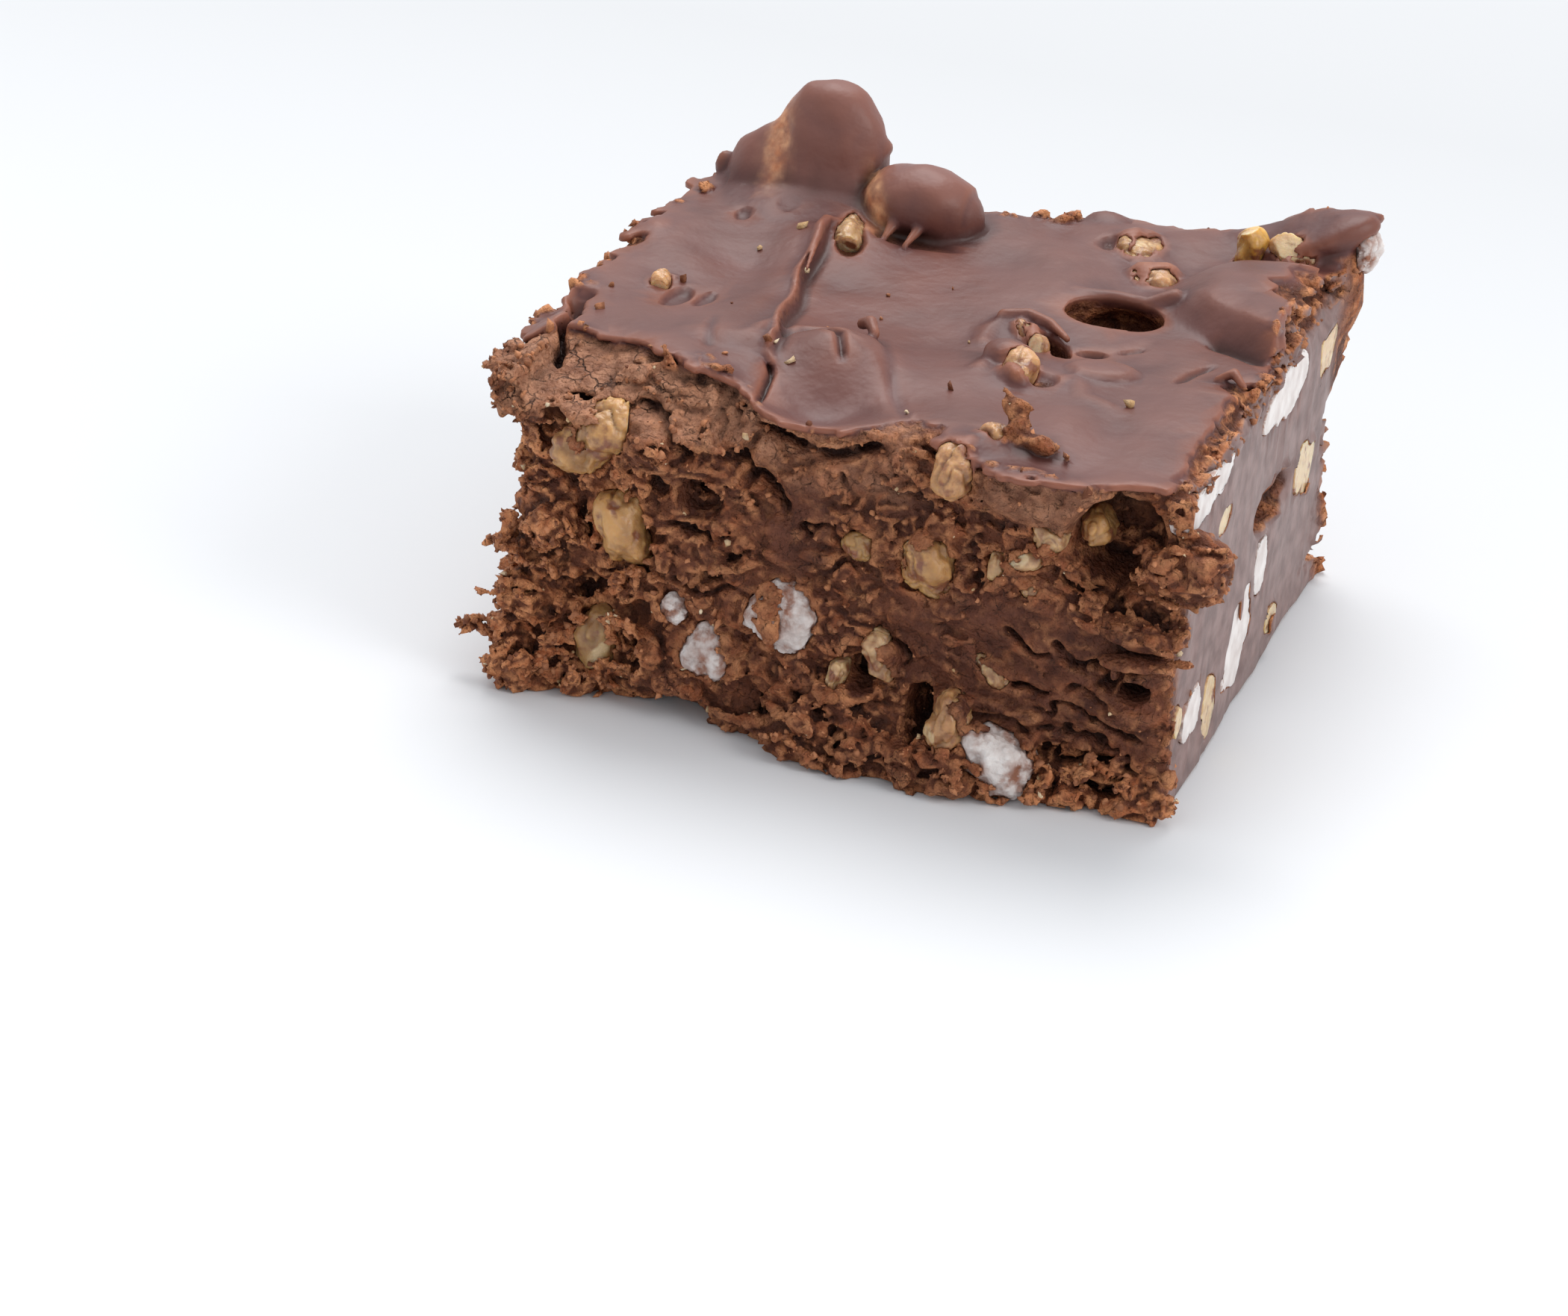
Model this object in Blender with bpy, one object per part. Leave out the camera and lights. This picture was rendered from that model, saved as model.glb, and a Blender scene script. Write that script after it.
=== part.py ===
"""A cut square of chocolate fudge with chopped walnuts and small marshmallows.

All sizes below are millimetres in the block's own axes: x runs left to right
along the broken front, y from the front to the back, z up from the base. The
whole piece is then moved so that the origin is at the middle of its base.
"""
import math

import bmesh
import bpy
import numpy as np
from mathutils import Euler, Matrix, Vector, noise

MM = 0.001

# Driving sizes of the block
WIDTH = 60.0
DEPTH = 53.2
HEIGHT = 30.5
CELL = 2.4
ORIGIN = Vector((29.67, 27.11, 0.0))

# How far into the block the relief of each side is felt
FRONT_REACH = 24.0
SIDE_REACH = 16.0
TOP_REACH = 10.0

# Unevenness of the broken faces and of the cut faces
BROKEN_ROUGH = 0.75
CUT_ROUGH = 0.22
ROUGH_SIZE = 4.2

POCKET_GAP = 0.36

# Nuts and marshmallows with a smaller mean size than this get fewer faces
SMALL_PIECE = 3.0

# The crumbled bevel along the left of the front top edge: place and depth
BEVEL_X = (0.3, 1.6, 7.5, 10.0, 13.0, 20.0, 21.5, 23.0)
BEVEL_DEPTH = (1.0, 8.0, 8.0, 6.4, 4.8, 4.2, 2.0, 0.0)
BEVEL_FOOT = 24.5

# Outline of the left end at the front: height and how far it stands out
LEFT_HEIGHT = (0.0, 3.0, 8.0, 13.0, 17.5, 20.5, 24.5, 28.0, 30.5)
LEFT_OUT = (0.0, 2.3, 2.4, 1.3, -1.0, 0.0, -1.6, 1.0, 0.7)

# The thin fold in the top skin, from the walnut socket to the mound
FOLD_Y = (10.5, 17.0, 25.0, 34.0, 41.5)
FOLD_X = (19.5, 18.0, 16.3, 14.8, 13.8)

FUDGE_COLOUR = (0.105, 0.05, 0.04, 1.0)
WALNUT_COLOUR = (0.46, 0.30, 0.12, 1.0)
MARSHMALLOW_COLOUR = (0.80, 0.77, 0.76, 1.0)


def step(t, low, high):
    """Goes smoothly from 0 at low to 1 at high."""
    s = np.clip((t - low) / (high - low), 0.0, 1.0)
    return s * s * (3.0 - 2.0 * s)


def band(t, low, high, soft):
    """1 between low and high, 0 outside, with soft flanks."""
    return step(t, low - soft, low + soft) * (1.0 - step(t, high - soft, high + soft))


def patch(u, v, at_u, at_v, half_u, half_v):
    """An oval patch, 1 over its middle and 0 past its rim."""
    q = ((u - at_u) / half_u) ** 2 + ((v - at_v) / half_v) ** 2
    return 1.0 - step(q, 0.35, 1.25)


def dome(u, v, at_u, at_v, half_u, half_v):
    """A round swelling, 1 at its middle."""
    q = ((u - at_u) / half_u) ** 2 + ((v - at_v) / half_v) ** 2
    return np.sqrt(np.clip(1.0 - q, 0.0, 1.0))


def front_relief(x, z):
    """How far the broken front stands forward of its plane."""
    out = 3.4 * band(x, 25.0, 44.0, 2.5) * (1.0 - step(z, 1.5, 8.0))
    out = out + 1.3 * band(x, 44.0, 61.0, 2.0) * (1.0 - step(z, 0.5, 6.0))
    out = out + 2.2 * band(x, 42.5, 53.0, 2.0) * step(z, 23.5, 27.0)
    out = out - np.interp(x, BEVEL_X, BEVEL_DEPTH) * step(z, BEVEL_FOOT, HEIGHT)
    out = out - 5.5 * patch(x, z, 54.0, 24.6, 3.9, 4.3)
    out = out - 3.4 * patch(x, z, 6.6, 27.6, 2.7, 1.5)
    out = out - 3.0 * patch(x, z, 17.3, 21.4, 1.9, 2.0)
    out = out - 1.5 * band(z, 21.5, 25.0, 1.0) * (1.0 - step(x, 4.0, 9.0))
    out = out - 2.6 * patch(x, z, 38.2, 5.8, 1.3, 2.6)
    out = out - 2.0 * patch(x, z, 32.6, 8.0, 1.5, 1.6)
    out = out - 3.0 * band(x, 8.0, 19.0, 2.5) * (1.0 - step(z, 0.0, 3.6))
    return out


def left_relief(y, z):
    """How far the left end stands out: its front outline, then a bulge behind."""
    near = np.interp(z, LEFT_HEIGHT, LEFT_OUT)
    corner = 3.2 * band(y, 4.0, 17.0, 3.0) * step(z, 20.0, 25.0)
    bulge = 2.3 * band(y, 18.0, 40.0, 3.0) * step(z, 17.0, 24.0)
    low = 1.0 * band(y, 14.0, 46.0, 4.0) * (1.0 - step(z, 6.0, 14.0))
    return near * (1.0 - step(y, 4.0, 14.0)) + corner + bulge + low


def right_relief(y, z):
    """How far the cut right side stands out: flat, but for a ragged crevice."""
    crevice = 2.2 * patch(y, z, 32.3, 16.8, 6.0, 1.9)
    crumbled = 1.3 * band(y, 38.0, 50.0, 2.0) * step(z, 26.5, HEIGHT)
    return -crevice - crumbled


def back_relief(x, z):
    """How far the back stands out: an upper ledge at the right, notches below."""
    ledge = 3.8 * step(x, 31.0, 38.0) * step(z, 17.5, 21.5)
    notch = 3.0 * step(x, 46.0, 56.0) * band(z, 13.8, 15.4, 1.0)
    foot = 3.2 * step(x, 44.0, 54.0) * band(z, 2.4, 5.2, 1.2)
    return 0.6 + ledge - notch - foot


def top_relief(x, y):
    """Height of the poured top above its plane."""
    fold = np.interp(y, FOLD_Y, FOLD_X)
    along = band(y, 11.0, 40.5, 2.0)
    out = 1.0 * step(x, 9.5, 15.0) * (1.0 - step(x, fold, fold + 1.2)) * along
    out = out + 0.8 * np.exp(-(((x - fold) / 0.9) ** 2)) * along
    out = out + 1.7 * dome(x, y, 24.6, 8.6, 6.2, 11.0)
    out = out + 0.6 * step(y, 47.0, 54.0) * step(x, 30.0, 36.0)
    crease = np.interp(x, (47.5, 52.5, 59.0), (34.5, 32.0, 28.5))
    raised = step(x, 46.2, 50.0) * (1.0 - step(x, 58.8, 60.4))
    out = out + 2.3 * raised * step(y, crease, crease + 2.4) * (1.0 - step(y, 46.5, 51.5))
    out = out + 3.4 * step(x, 49.5, 57.5) * step(y, 49.0, 57.5)
    out = out + 0.5 * band(x, 52.5, 58.6, 0.9) * band(y, -2.0, 21.0, 1.5)
    out = out - 3.6 * patch(x, y, 43.4, 35.0, 4.3, 3.7) * (1.0 - step(y, 37.4, 38.6))
    out = out - 2.2 * patch(x + 0.5 * (y - 27.0), y, 38.2, 27.2, 3.4, 2.0)
    out = out - 1.6 * (1.0 - step(x, -3.0, 0.8)) * band(y, -3.0, 17.0, 2.0)
    return out


def uneven(point, seed):
    """Seeded unevenness between about -1 and 1."""
    offset = Vector((seed * 7.3, seed * 3.1, seed * 5.7))
    coarse = noise.noise(point / ROUGH_SIZE + offset)
    fine = noise.noise(point / (0.45 * ROUGH_SIZE) - offset)
    return 1.3 * coarse + 0.6 * fine


def hold(distance, reach):
    """Share of a side's relief that is felt at a distance from that side."""
    return max(0.0, 1.0 - distance / reach) ** 2


def block_point(x, y, z):
    """Place of a point of the plain block once each side has its relief."""
    at = Vector((x, y, z))
    on_base = z < 0.01
    front = float(front_relief(x, z)) + BROKEN_ROUGH * uneven(at, 1)
    left = float(left_relief(y, z)) + BROKEN_ROUGH * uneven(at, 2)
    right = float(right_relief(y, z)) + CUT_ROUGH * uneven(at, 3)
    back = float(back_relief(x, z)) + BROKEN_ROUGH * uneven(at, 4)
    top = float(top_relief(x, y)) + CUT_ROUGH * uneven(at, 5)
    moved = Vector(at)
    moved.y += back * hold(DEPTH - y, SIDE_REACH) - front * hold(y, FRONT_REACH)
    moved.x += right * hold(WIDTH - x, SIDE_REACH) - left * hold(x, SIDE_REACH)
    if not on_base:
        moved.z += top * hold(HEIGHT - z, TOP_REACH)
    return moved


def block_grid():
    """The six sides of the block as one closed grid of squares."""
    counts = [round(WIDTH / CELL), round(DEPTH / CELL), round(HEIGHT / CELL)]
    sizes = (WIDTH, DEPTH, HEIGHT)
    grid = bmesh.new()
    corners = {}

    def corner(cell):
        if cell not in corners:
            at = [cell[axis] * sizes[axis] / counts[axis] for axis in range(3)]
            corners[cell] = grid.verts.new(block_point(*at))
        return corners[cell]

    for axis in range(3):
        u, v = (axis + 1) % 3, (axis + 2) % 3
        for level in (0, counts[axis]):
            for i in range(counts[u]):
                for j in range(counts[v]):
                    ring = []
                    for du, dv in ((0, 0), (1, 0), (1, 1), (0, 1)):
                        cell = [0, 0, 0]
                        cell[axis] = level
                        cell[u] = i + du
                        cell[v] = j + dv
                        ring.append(corner(tuple(cell)))
                    grid.faces.new(ring if level else ring[::-1])
    return grid


def flatten_base(grid):
    """Joins the small squares of the flat base into a few faces."""
    base = [face for face in grid.faces if all(v.co.z < 0.001 for v in face.verts)]
    inner = {edge for face in base for edge in face.edges if all(f in base for f in edge.link_faces)}
    points = {v for face in base for v in face.verts}
    bmesh.ops.dissolve_limit(grid, angle_limit=0.001, verts=list(points), edges=list(inner))


def material(name, colour, roughness):
    """A plain surface finish."""
    made = bpy.data.materials.new(name)
    made.use_nodes = True
    shader = made.node_tree.nodes["Principled BSDF"]
    shader.inputs["Base Color"].default_value = colour
    shader.inputs["Roughness"].default_value = roughness
    shader.inputs["Metallic"].default_value = 0.0
    return made


def to_object(name, shape, finish, collection=None):
    """Turns a shape in millimetres into a named object in metres."""
    bmesh.ops.triangulate(shape, faces=shape.faces)
    bmesh.ops.recalc_face_normals(shape, faces=shape.faces)
    mesh = bpy.data.meshes.new(name)
    shape.to_mesh(mesh)
    shape.free()
    mesh.transform(Matrix.Scale(MM, 4) @ Matrix.Translation(-ORIGIN))
    if finish:
        mesh.materials.append(finish)
    made = bpy.data.objects.new(name, mesh)
    (collection or bpy.context.scene.collection).objects.link(made)
    return made


def nugget(shape, centre, size, turn=(0, 0, 0), seed=1, waist=0.0, square=0.0, knobs=0.12, detail=2):
    """Adds an uneven rounded piece to a shape: chopped nut, marshmallow or lump."""
    made = bmesh.ops.create_icosphere(shape, subdivisions=detail, radius=1.0)["verts"]
    rotation = Euler([math.radians(a) for a in turn]).to_matrix()
    half = Vector(size) / 2.0
    offset = Vector((seed * 1.7, seed * 0.9, seed * 2.3))
    for vert in made:
        way = vert.co.normalized()
        reach = 1.0 + knobs * 2.0 * noise.noise(way * 1.4 + offset)
        reach -= waist * math.exp(-((way.z / 0.35) ** 2))
        power = 2.0 + 4.0 * square
        norm = sum(abs(c) ** power for c in way) ** (1.0 / power)
        local = Vector([way[i] * half[i] * reach / norm for i in range(3)])
        vert.co = rotation @ local + Vector(centre)
    return made


def spike(shape, foot, tip, width, seed=1):
    """Adds a four-sided shard that tapers from its foot to its tip."""
    foot, tip = Vector(foot), Vector(tip)
    along = tip - foot
    turn = along.to_track_quat("Z", "Y").to_matrix().to_4x4()
    place = Matrix.Translation((foot + tip) / 2.0) @ turn
    made = bmesh.ops.create_cone(
        shape, cap_ends=True, segments=6, radius1=width / 2.0, radius2=width / 9.0,
        depth=along.length, matrix=place)["verts"]
    for vert in made:
        at = vert.co * 0.5
        shift = [noise.noise(at + Vector((seed, 9.1 * axis, 0.0))) for axis in range(3)]
        vert.co += Vector(shift) * 0.16 * width


# Each inclusion: centre (x, y, z), size (x, y, z), turn in degrees, waist.
# On the front, y is the centre's depth behind the front plane.
FRONT_NUTS = (
    ((7.5, 1.7, 24.9), (5.0, 4.8, 8.2), (0, 42, 0), 0.20),
    ((10.3, 1.6, 16.8), (3.8, 4.6, 6.4), (0, -18, 0), 0.10),
    ((8.0, 2.4, 5.4), (3.4, 4.2, 5.6), (0, 6, 0), 0.06),
    ((37.7, 1.4, 19.1), (4.2, 4.2, 5.2), (0, -14, 0), 0.0),
    ((31.7, 1.0, 19.7), (2.7, 3.0, 2.4), (0, 20, 0), 0.0),
    ((40.0, 0.2, 28.6), (3.4, 5.2, 4.8), (0, 10, 0), 0.10),
    ((48.4, 0.6, 24.4), (3.1, 3.8, 2.8), (0, 20, 0), 0.0),
    ((52.0, 2.2, 25.2), (2.6, 4.0, 3.0), (0, -10, 0), 0.0),
    ((46.7, 1.2, 21.7), (3.4, 3.4, 1.8), (0, -16, 0), 0.0),
    ((43.9, 1.0, 20.4), (1.8, 3.0, 3.0), (0, 10, 0), 0.0),
    ((47.3, 1.4, 18.9), (2.8, 3.2, 1.7), (0, 14, 0), 0.0),
    ((34.4, 0.8, 10.2), (2.4, 3.4, 4.6), (0, -12, 0), 0.10),
    ((41.4, -1.6, 6.2), (3.3, 4.4, 5.2), (0, 14, 0), 0.06),
    ((30.7, 0.4, 7.7), (1.5, 3.0, 4.2), (0, 16, 0), 0.0),
    ((44.3, 0.5, 10.9), (3.5, 2.8, 2.0), (0, 34, 0), 0.10),
)
TOP_NUTS = (
    ((16.0, 42.2, 30.6), (2.9, 8.0, 3.6), (0, 0, 14), 0.0),
    ((4.6, 23.6, 30.4), (1.9, 2.8, 2.2), (0, 0, 10), 0.0),
    ((41.2, 50.4, 31.0), (3.6, 5.6, 2.8), (0, 0, 30), 0.0),
    ((44.4, 44.2, 30.8), (3.8, 4.4, 2.6), (0, 0, 20), 0.0),
    ((39.8, 18.0, 30.7), (3.2, 5.4, 3.2), (0, 0, 10), 0.12),
    ((38.0, 27.2, 29.8), (1.3, 6.4, 2.2), (0, 0, 38), 0.0),
    ((42.4, 3.6, 30.9), (3.2, 2.2, 2.0), (0, 0, 10), 0.0),
    ((51.4, 51.6, 31.7), (2.4, 2.6, 5.0), (0, 4, 0), 0.0),
    ((55.4, 52.0, 32.0), (4.2, 2.2, 3.0), (0, 28, 0), 0.0),
    ((0.2, 34.4, 30.0), (1.8, 3.4, 2.4), (0, 0, 0), 0.0),
)
SIDE_NUTS = (
    ((59.2, 12.9, 22.8), (2.6, 4.2, 2.3), (0, 0, 0), 0.0),
    ((58.9, 2.8, 8.2), (3.0, 2.6, 3.2), (0, 0, 0), 0.0),
    ((59.1, 13.5, 4.9), (2.8, 4.2, 6.2), (14, 0, 0), 0.08),
    ((59.0, 43.7, 14.9), (3.2, 7.4, 5.2), (-12, 0, 0), 0.12),
    ((59.1, 35.4, 3.5), (2.6, 4.0, 2.4), (0, 0, 0), 0.0),
    ((59.0, 48.6, 24.8), (3.0, 6.6, 4.2), (10, 0, 0), 0.10),
    ((-0.1, 14.0, 12.6), (3.2, 4.6, 4.0), (0, 0, 0), 0.0),
    ((-0.2, 44.5, 8.2), (3.0, 5.6, 3.8), (20, 0, 0), 0.12),
    ((29.0, 53.2, 9.0), (5.6, 3.2, 4.2), (0, 20, 0), 0.12),
    ((46.0, 56.5, 24.0), (4.2, 3.2, 5.2), (0, 0, 0), 0.0),
)
MARSHMALLOWS = (
    ((25.6, 0.9, 12.0), (5.4, 4.6, 5.4), (0, 24, 0), 0.0),
    ((18.8, 1.6, 7.2), (3.6, 4.2, 5.0), (0, 28, 0), 0.0),
    ((15.6, 1.0, 10.6), (2.3, 3.2, 2.4), (0, 0, 0), 0.0),
    ((45.6, -0.6, 3.3), (5.4, 4.4, 4.4), (0, 20, 0), 0.0),
    ((59.2, 7.2, 28.2), (2.4, 12.6, 3.6), (4, 0, 0), 0.0),
    ((59.1, 33.0, 28.0), (2.8, 13.0, 6.4), (-4, 0, 0), 0.0),
    ((59.2, 7.6, 6.6), (2.6, 4.6, 3.6), (0, 0, 0), 0.0),
    ((59.1, 22.0, 7.2), (2.8, 6.4, 8.0), (-30, 0, 0), 0.0),
    ((59.2, 29.2, 11.6), (2.6, 3.6, 4.2), (0, 0, 0), 0.0),
    ((61.2, 54.6, 32.4), (2.4, 4.2, 4.2), (0, 0, 0), 0.0),
    ((-0.6, 30.0, 17.5), (3.2, 8.0, 6.6), (24, 0, 0), 0.0),
    ((15.0, 53.4, 20.0), (8.4, 3.2, 6.4), (0, 20, 0), 0.0),
)


def inclusion(shape, kind, row, seed, grow):
    """Adds one nut or marshmallow to a shape, grown all round by grow."""
    centre, size, turn, waist = row
    grown = [s + 2.0 * grow for s in size]
    square = 0.45 if kind == "marshmallow" else 0.12
    detail = 1 if sum(size) / 3.0 < SMALL_PIECE else 2
    nugget(shape, centre, grown, turn, seed, waist, square, detail=detail)


def inclusions(finishes, pockets):
    """Makes every nut and marshmallow, and a pocket in the fudge for each."""
    groups = (("walnut", FRONT_NUTS + TOP_NUTS + SIDE_NUTS), ("marshmallow", MARSHMALLOWS))
    for kind, rows in groups:
        for number, row in enumerate(rows, 1):
            name = f"{kind}_{number:02d}"
            piece = bmesh.new()
            inclusion(piece, kind, row, number, 0.0)
            to_object(name, piece, finishes[kind])
            pocket = bmesh.new()
            inclusion(pocket, kind, row, number, POCKET_GAP)
            to_object("pocket_" + name, pocket, None, pockets)


def coated_nuts(add):
    """The two nuts under poured chocolate at the back left."""
    nugget(add(), (10.3, 51.0, 33.4), (11.4, 8.8, 16.2), (0, 4, 0), 3, 0.0, 0.2, 0.05, 3)
    nugget(add(), (5.2, 50.6, 31.8), (8.8, 7.4, 10.6), (0, 20, 0), 5, 0.0, 0.1, 0.05)
    nugget(add(), (10.0, 47.6, 30.2), (12.4, 9.6, 4.6), (0, 0, 0), 13, 0.0, 0.1, 0.04)
    nugget(add(), (21.3, 47.8, 31.8), (11.2, 8.8, 8.2), (0, 8, 0), 4, 0.0, 0.1, 0.05, 3)


def torn_pieces(add):
    """Chunks and flaps that stand out of the broken front and the corners."""
    nugget(add(), (60.0, 0.8, 23.4), (6.6, 8.2, 7.4), (0, 10, 0), 7, 0.0, 0.4, 0.22)
    nugget(add(), (57.6, 0.0, 14.9), (9.4, 5.2, 2.4), (0, -6, 0), 8, 0.0, 0.2, 0.2)
    nugget(add(), (36.5, 56.2, 29.9), (4.0, 3.0, 2.9), (0, 0, 0), 14)
    nugget(add(), (58.6, 54.6, 31.6), (8.4, 6.2, 6.8), (0, -24, 0), 12, 0.0, 0.2, 0.08)
    nugget(add(), (60.2, 56.0, 34.0), (4.4, 2.6, 3.0), (0, -14, 0), 2)
    spike(add(), (46.0, 3.2, 29.4), (42.2, 6.4, 33.4), 3.2, 3)
    spike(add(), (0.5, 3.0, 4.6), (-4.9, 1.4, 4.3), 3.0, 4)
    spike(add(), (0.5, 3.0, 7.6), (-3.9, 1.6, 7.6), 2.6, 5)
    nugget(add(), (-1.0, 1.6, 2.8), (2.8, 2.6, 2.6), (0, 0, 0), 9)
    nugget(add(), (1.4, -0.6, 3.0), (2.3, 2.4, 2.7), (0, 0, 0), 10)
    nugget(add(), (3.8, -0.4, 2.4), (2.2, 2.4, 2.2), (0, 0, 0), 11)


def combine(target, operation, collection):
    """Joins or cuts a target with everything in a collection, then clears it."""
    change = target.modifiers.new(operation.lower(), "BOOLEAN")
    change.operation = operation
    change.operand_type = "COLLECTION"
    change.collection = collection
    change.solver = "EXACT"
    bpy.context.view_layer.update()
    graph = bpy.context.evaluated_depsgraph_get()
    mesh = bpy.data.meshes.new_from_object(target.evaluated_get(graph))
    target.modifiers.clear()
    target.data = mesh
    for part in list(collection.objects):
        bpy.data.objects.remove(part)
    bpy.data.collections.remove(collection)


def drop_scraps(target):
    """Keeps the one body of the block and removes crumbs that cuts set loose."""
    shape = bmesh.new()
    shape.from_mesh(target.data)
    groups = []
    seen = set()
    for start in shape.verts:
        if start in seen:
            continue
        group, front = [], [start]
        seen.add(start)
        while front:
            vert = front.pop()
            group.append(vert)
            for edge in vert.link_edges:
                other = edge.other_vert(vert)
                if other not in seen:
                    seen.add(other)
                    front.append(other)
        groups.append(group)
    groups.sort(key=len)
    for group in groups[:-1]:
        bmesh.ops.delete(shape, geom=group, context="VERTS")
    bmesh.ops.triangulate(shape, faces=shape.faces)
    shape.to_mesh(target.data)
    shape.free()


def new_collection(name):
    made = bpy.data.collections.new(name)
    bpy.context.scene.collection.children.link(made)
    return made


def main():
    for old in list(bpy.data.objects):
        bpy.data.objects.remove(old)
    finishes = {
        "fudge": material("fudge", FUDGE_COLOUR, 0.45),
        "walnut": material("walnut", WALNUT_COLOUR, 0.5),
        "marshmallow": material("marshmallow", MARSHMALLOW_COLOUR, 0.7),
    }
    grid = block_grid()
    flatten_base(grid)
    fudge = to_object("fudge", grid, finishes["fudge"])

    additions = new_collection("additions")
    shapes = []

    def add():
        shapes.append(bmesh.new())
        return shapes[-1]

    coated_nuts(add)
    torn_pieces(add)
    for number, shape in enumerate(shapes, 1):
        to_object(f"addition_{number:02d}", shape, None, additions)
    combine(fudge, "UNION", additions)

    pockets = new_collection("pockets")
    inclusions(finishes, pockets)
    combine(fudge, "DIFFERENCE", pockets)
    drop_scraps(fudge)


main()
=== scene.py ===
"""Looks of a cut square of chocolate fudge with walnuts and small marshmallows.

The fudge is carved on a grid of distances, in millimetres and in the block's
own axes: x to the right along the broken front, y from the front to the back,
z up from the base. Nuts and marshmallows grow out of their own solids.
"""
import math

import bmesh
import bpy
import numpy as np
import openvdb
from mathutils import Matrix, Vector


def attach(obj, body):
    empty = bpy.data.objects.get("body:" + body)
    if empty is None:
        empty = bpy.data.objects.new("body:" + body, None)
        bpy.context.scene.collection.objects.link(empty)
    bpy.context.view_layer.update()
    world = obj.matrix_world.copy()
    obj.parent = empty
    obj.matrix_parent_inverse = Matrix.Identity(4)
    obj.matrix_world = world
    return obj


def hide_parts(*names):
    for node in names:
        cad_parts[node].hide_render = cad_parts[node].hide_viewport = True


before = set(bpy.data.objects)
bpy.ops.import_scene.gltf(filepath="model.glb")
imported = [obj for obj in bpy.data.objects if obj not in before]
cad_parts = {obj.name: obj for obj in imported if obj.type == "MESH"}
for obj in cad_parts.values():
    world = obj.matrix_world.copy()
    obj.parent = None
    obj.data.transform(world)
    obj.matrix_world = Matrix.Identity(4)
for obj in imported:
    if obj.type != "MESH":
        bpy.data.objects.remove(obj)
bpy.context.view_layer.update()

MM = 0.001
WIDTH = 60.0
DEPTH = 53.2
HEIGHT = 30.5
ORIGIN = np.array((29.67, 27.11, 0.0))

# The grid of distances
VOXEL = 0.22
GRID_LOW = np.array((-7.2, -6.2, -1.0))
GRID_HIGH = np.array((66.6, 60.8, 44.6))
SHAPE = tuple(int(n) for n in np.ceil((GRID_HIGH - GRID_LOW) / VOXEL))
X, Y, Z = ((low + VOXEL * np.arange(n)).astype(np.float32) for low, n in zip(GRID_LOW, SHAPE))
BAND = 6.0

# The crumbled bevel along the left of the front top edge: place and depth
BEVEL_X = (0.3, 1.6, 7.5, 10.0, 13.0, 20.0, 21.5, 23.0)
BEVEL_DEPTH = (1.0, 8.0, 8.0, 6.4, 4.8, 4.2, 2.0, 0.0)
BEVEL_FOOT_X = (0.0, 12.0, 22.0)
BEVEL_FOOT = (27.2, 27.2, 25.0)

# Outline of the left end at the front: height and how far it stands out
LEFT_HEIGHT = (0.0, 3.0, 8.0, 13.0, 17.5, 20.5, 24.5, 26.5, 30.5)
LEFT_OUT = (0.0, 2.3, 2.4, 1.3, -1.0, 0.0, -1.6, 1.0, 0.7)

# The thin fold in the top skin, from the walnut socket to the mound
FOLD_Y = (10.5, 17.0, 25.0, 34.0, 41.5)
FOLD_X = (19.5, 18.0, 16.3, 14.8, 13.8)

# The poured skin: its thickness, and its edges at the front, right and left
SKIN = 0.62
SKIN_X = (0.8, 5.0, 8.0, 10.0, 13.0, 20.0, 21.3, 22.6, 25.0, 30.0,
          32.0, 34.0, 37.5, 39.0, 42.0, 45.0, 50.0, 55.0, 60.0)
SKIN_FRONT = (8.6, 8.7, 8.0, 6.6, 4.9, 4.2, 2.0, 0.9, 0.0, 0.0,
              1.4, 3.4, 3.4, 1.2, -1.2, -2.9, -2.8, -1.3, -0.6)
SKIN_Y = (-3.0, 20.0, 21.8, 23.6, 44.0, 50.0, 56.0)
SKIN_RIGHT = (58.3, 58.3, 56.6, 59.4, 59.6, 58.6, 61.0)
SKIN_LEFT = (-2.8, -2.6, -2.2, -1.6, -1.4, -0.6, 0.0)

# How far the block below the skin stays under the top, and the gap round nuts and marshmallows
SKIN_LEDGE = 0.32
GAP = 0.06

# The photograph's view of the piece, with x, y and z in block axes
CAMERA_AT = (138.17, -333.96, 184.70)
CAMERA_RIGHT = (0.93938, 0.33985, 0.04548)
CAMERA_UP = (-0.19068, 0.40755, 0.89306)
CAMERA_LENS = 105.87
SENSOR = 36.0

# Triangles of the fudge's mesh in all, and of its back, left side and base before the last thinning
BODY_TRIANGLES = 196000
UNSEEN_TRIANGLES = 60000


def step(t, low, high):
    """Goes smoothly from 0 at low to 1 at high."""
    s = np.clip((t - low) / (high - low), 0.0, 1.0)
    return s * s * (3.0 - 2.0 * s)


def band(t, low, high, soft):
    """1 between low and high, 0 outside, with soft flanks."""
    return step(t, low - soft, low + soft) * (1.0 - step(t, high - soft, high + soft))


def patch(u, v, at_u, at_v, half_u, half_v):
    """An oval patch, 1 over its middle and 0 past its rim."""
    q = ((u - at_u) / half_u) ** 2 + ((v - at_v) / half_v) ** 2
    return 1.0 - step(q, 0.35, 1.25)


def dome(u, v, at_u, at_v, half_u, half_v):
    """A round swelling, 1 at its middle."""
    q = ((u - at_u) / half_u) ** 2 + ((v - at_v) / half_v) ** 2
    return np.sqrt(np.clip(1.0 - q, 0.0, 1.0))


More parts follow.
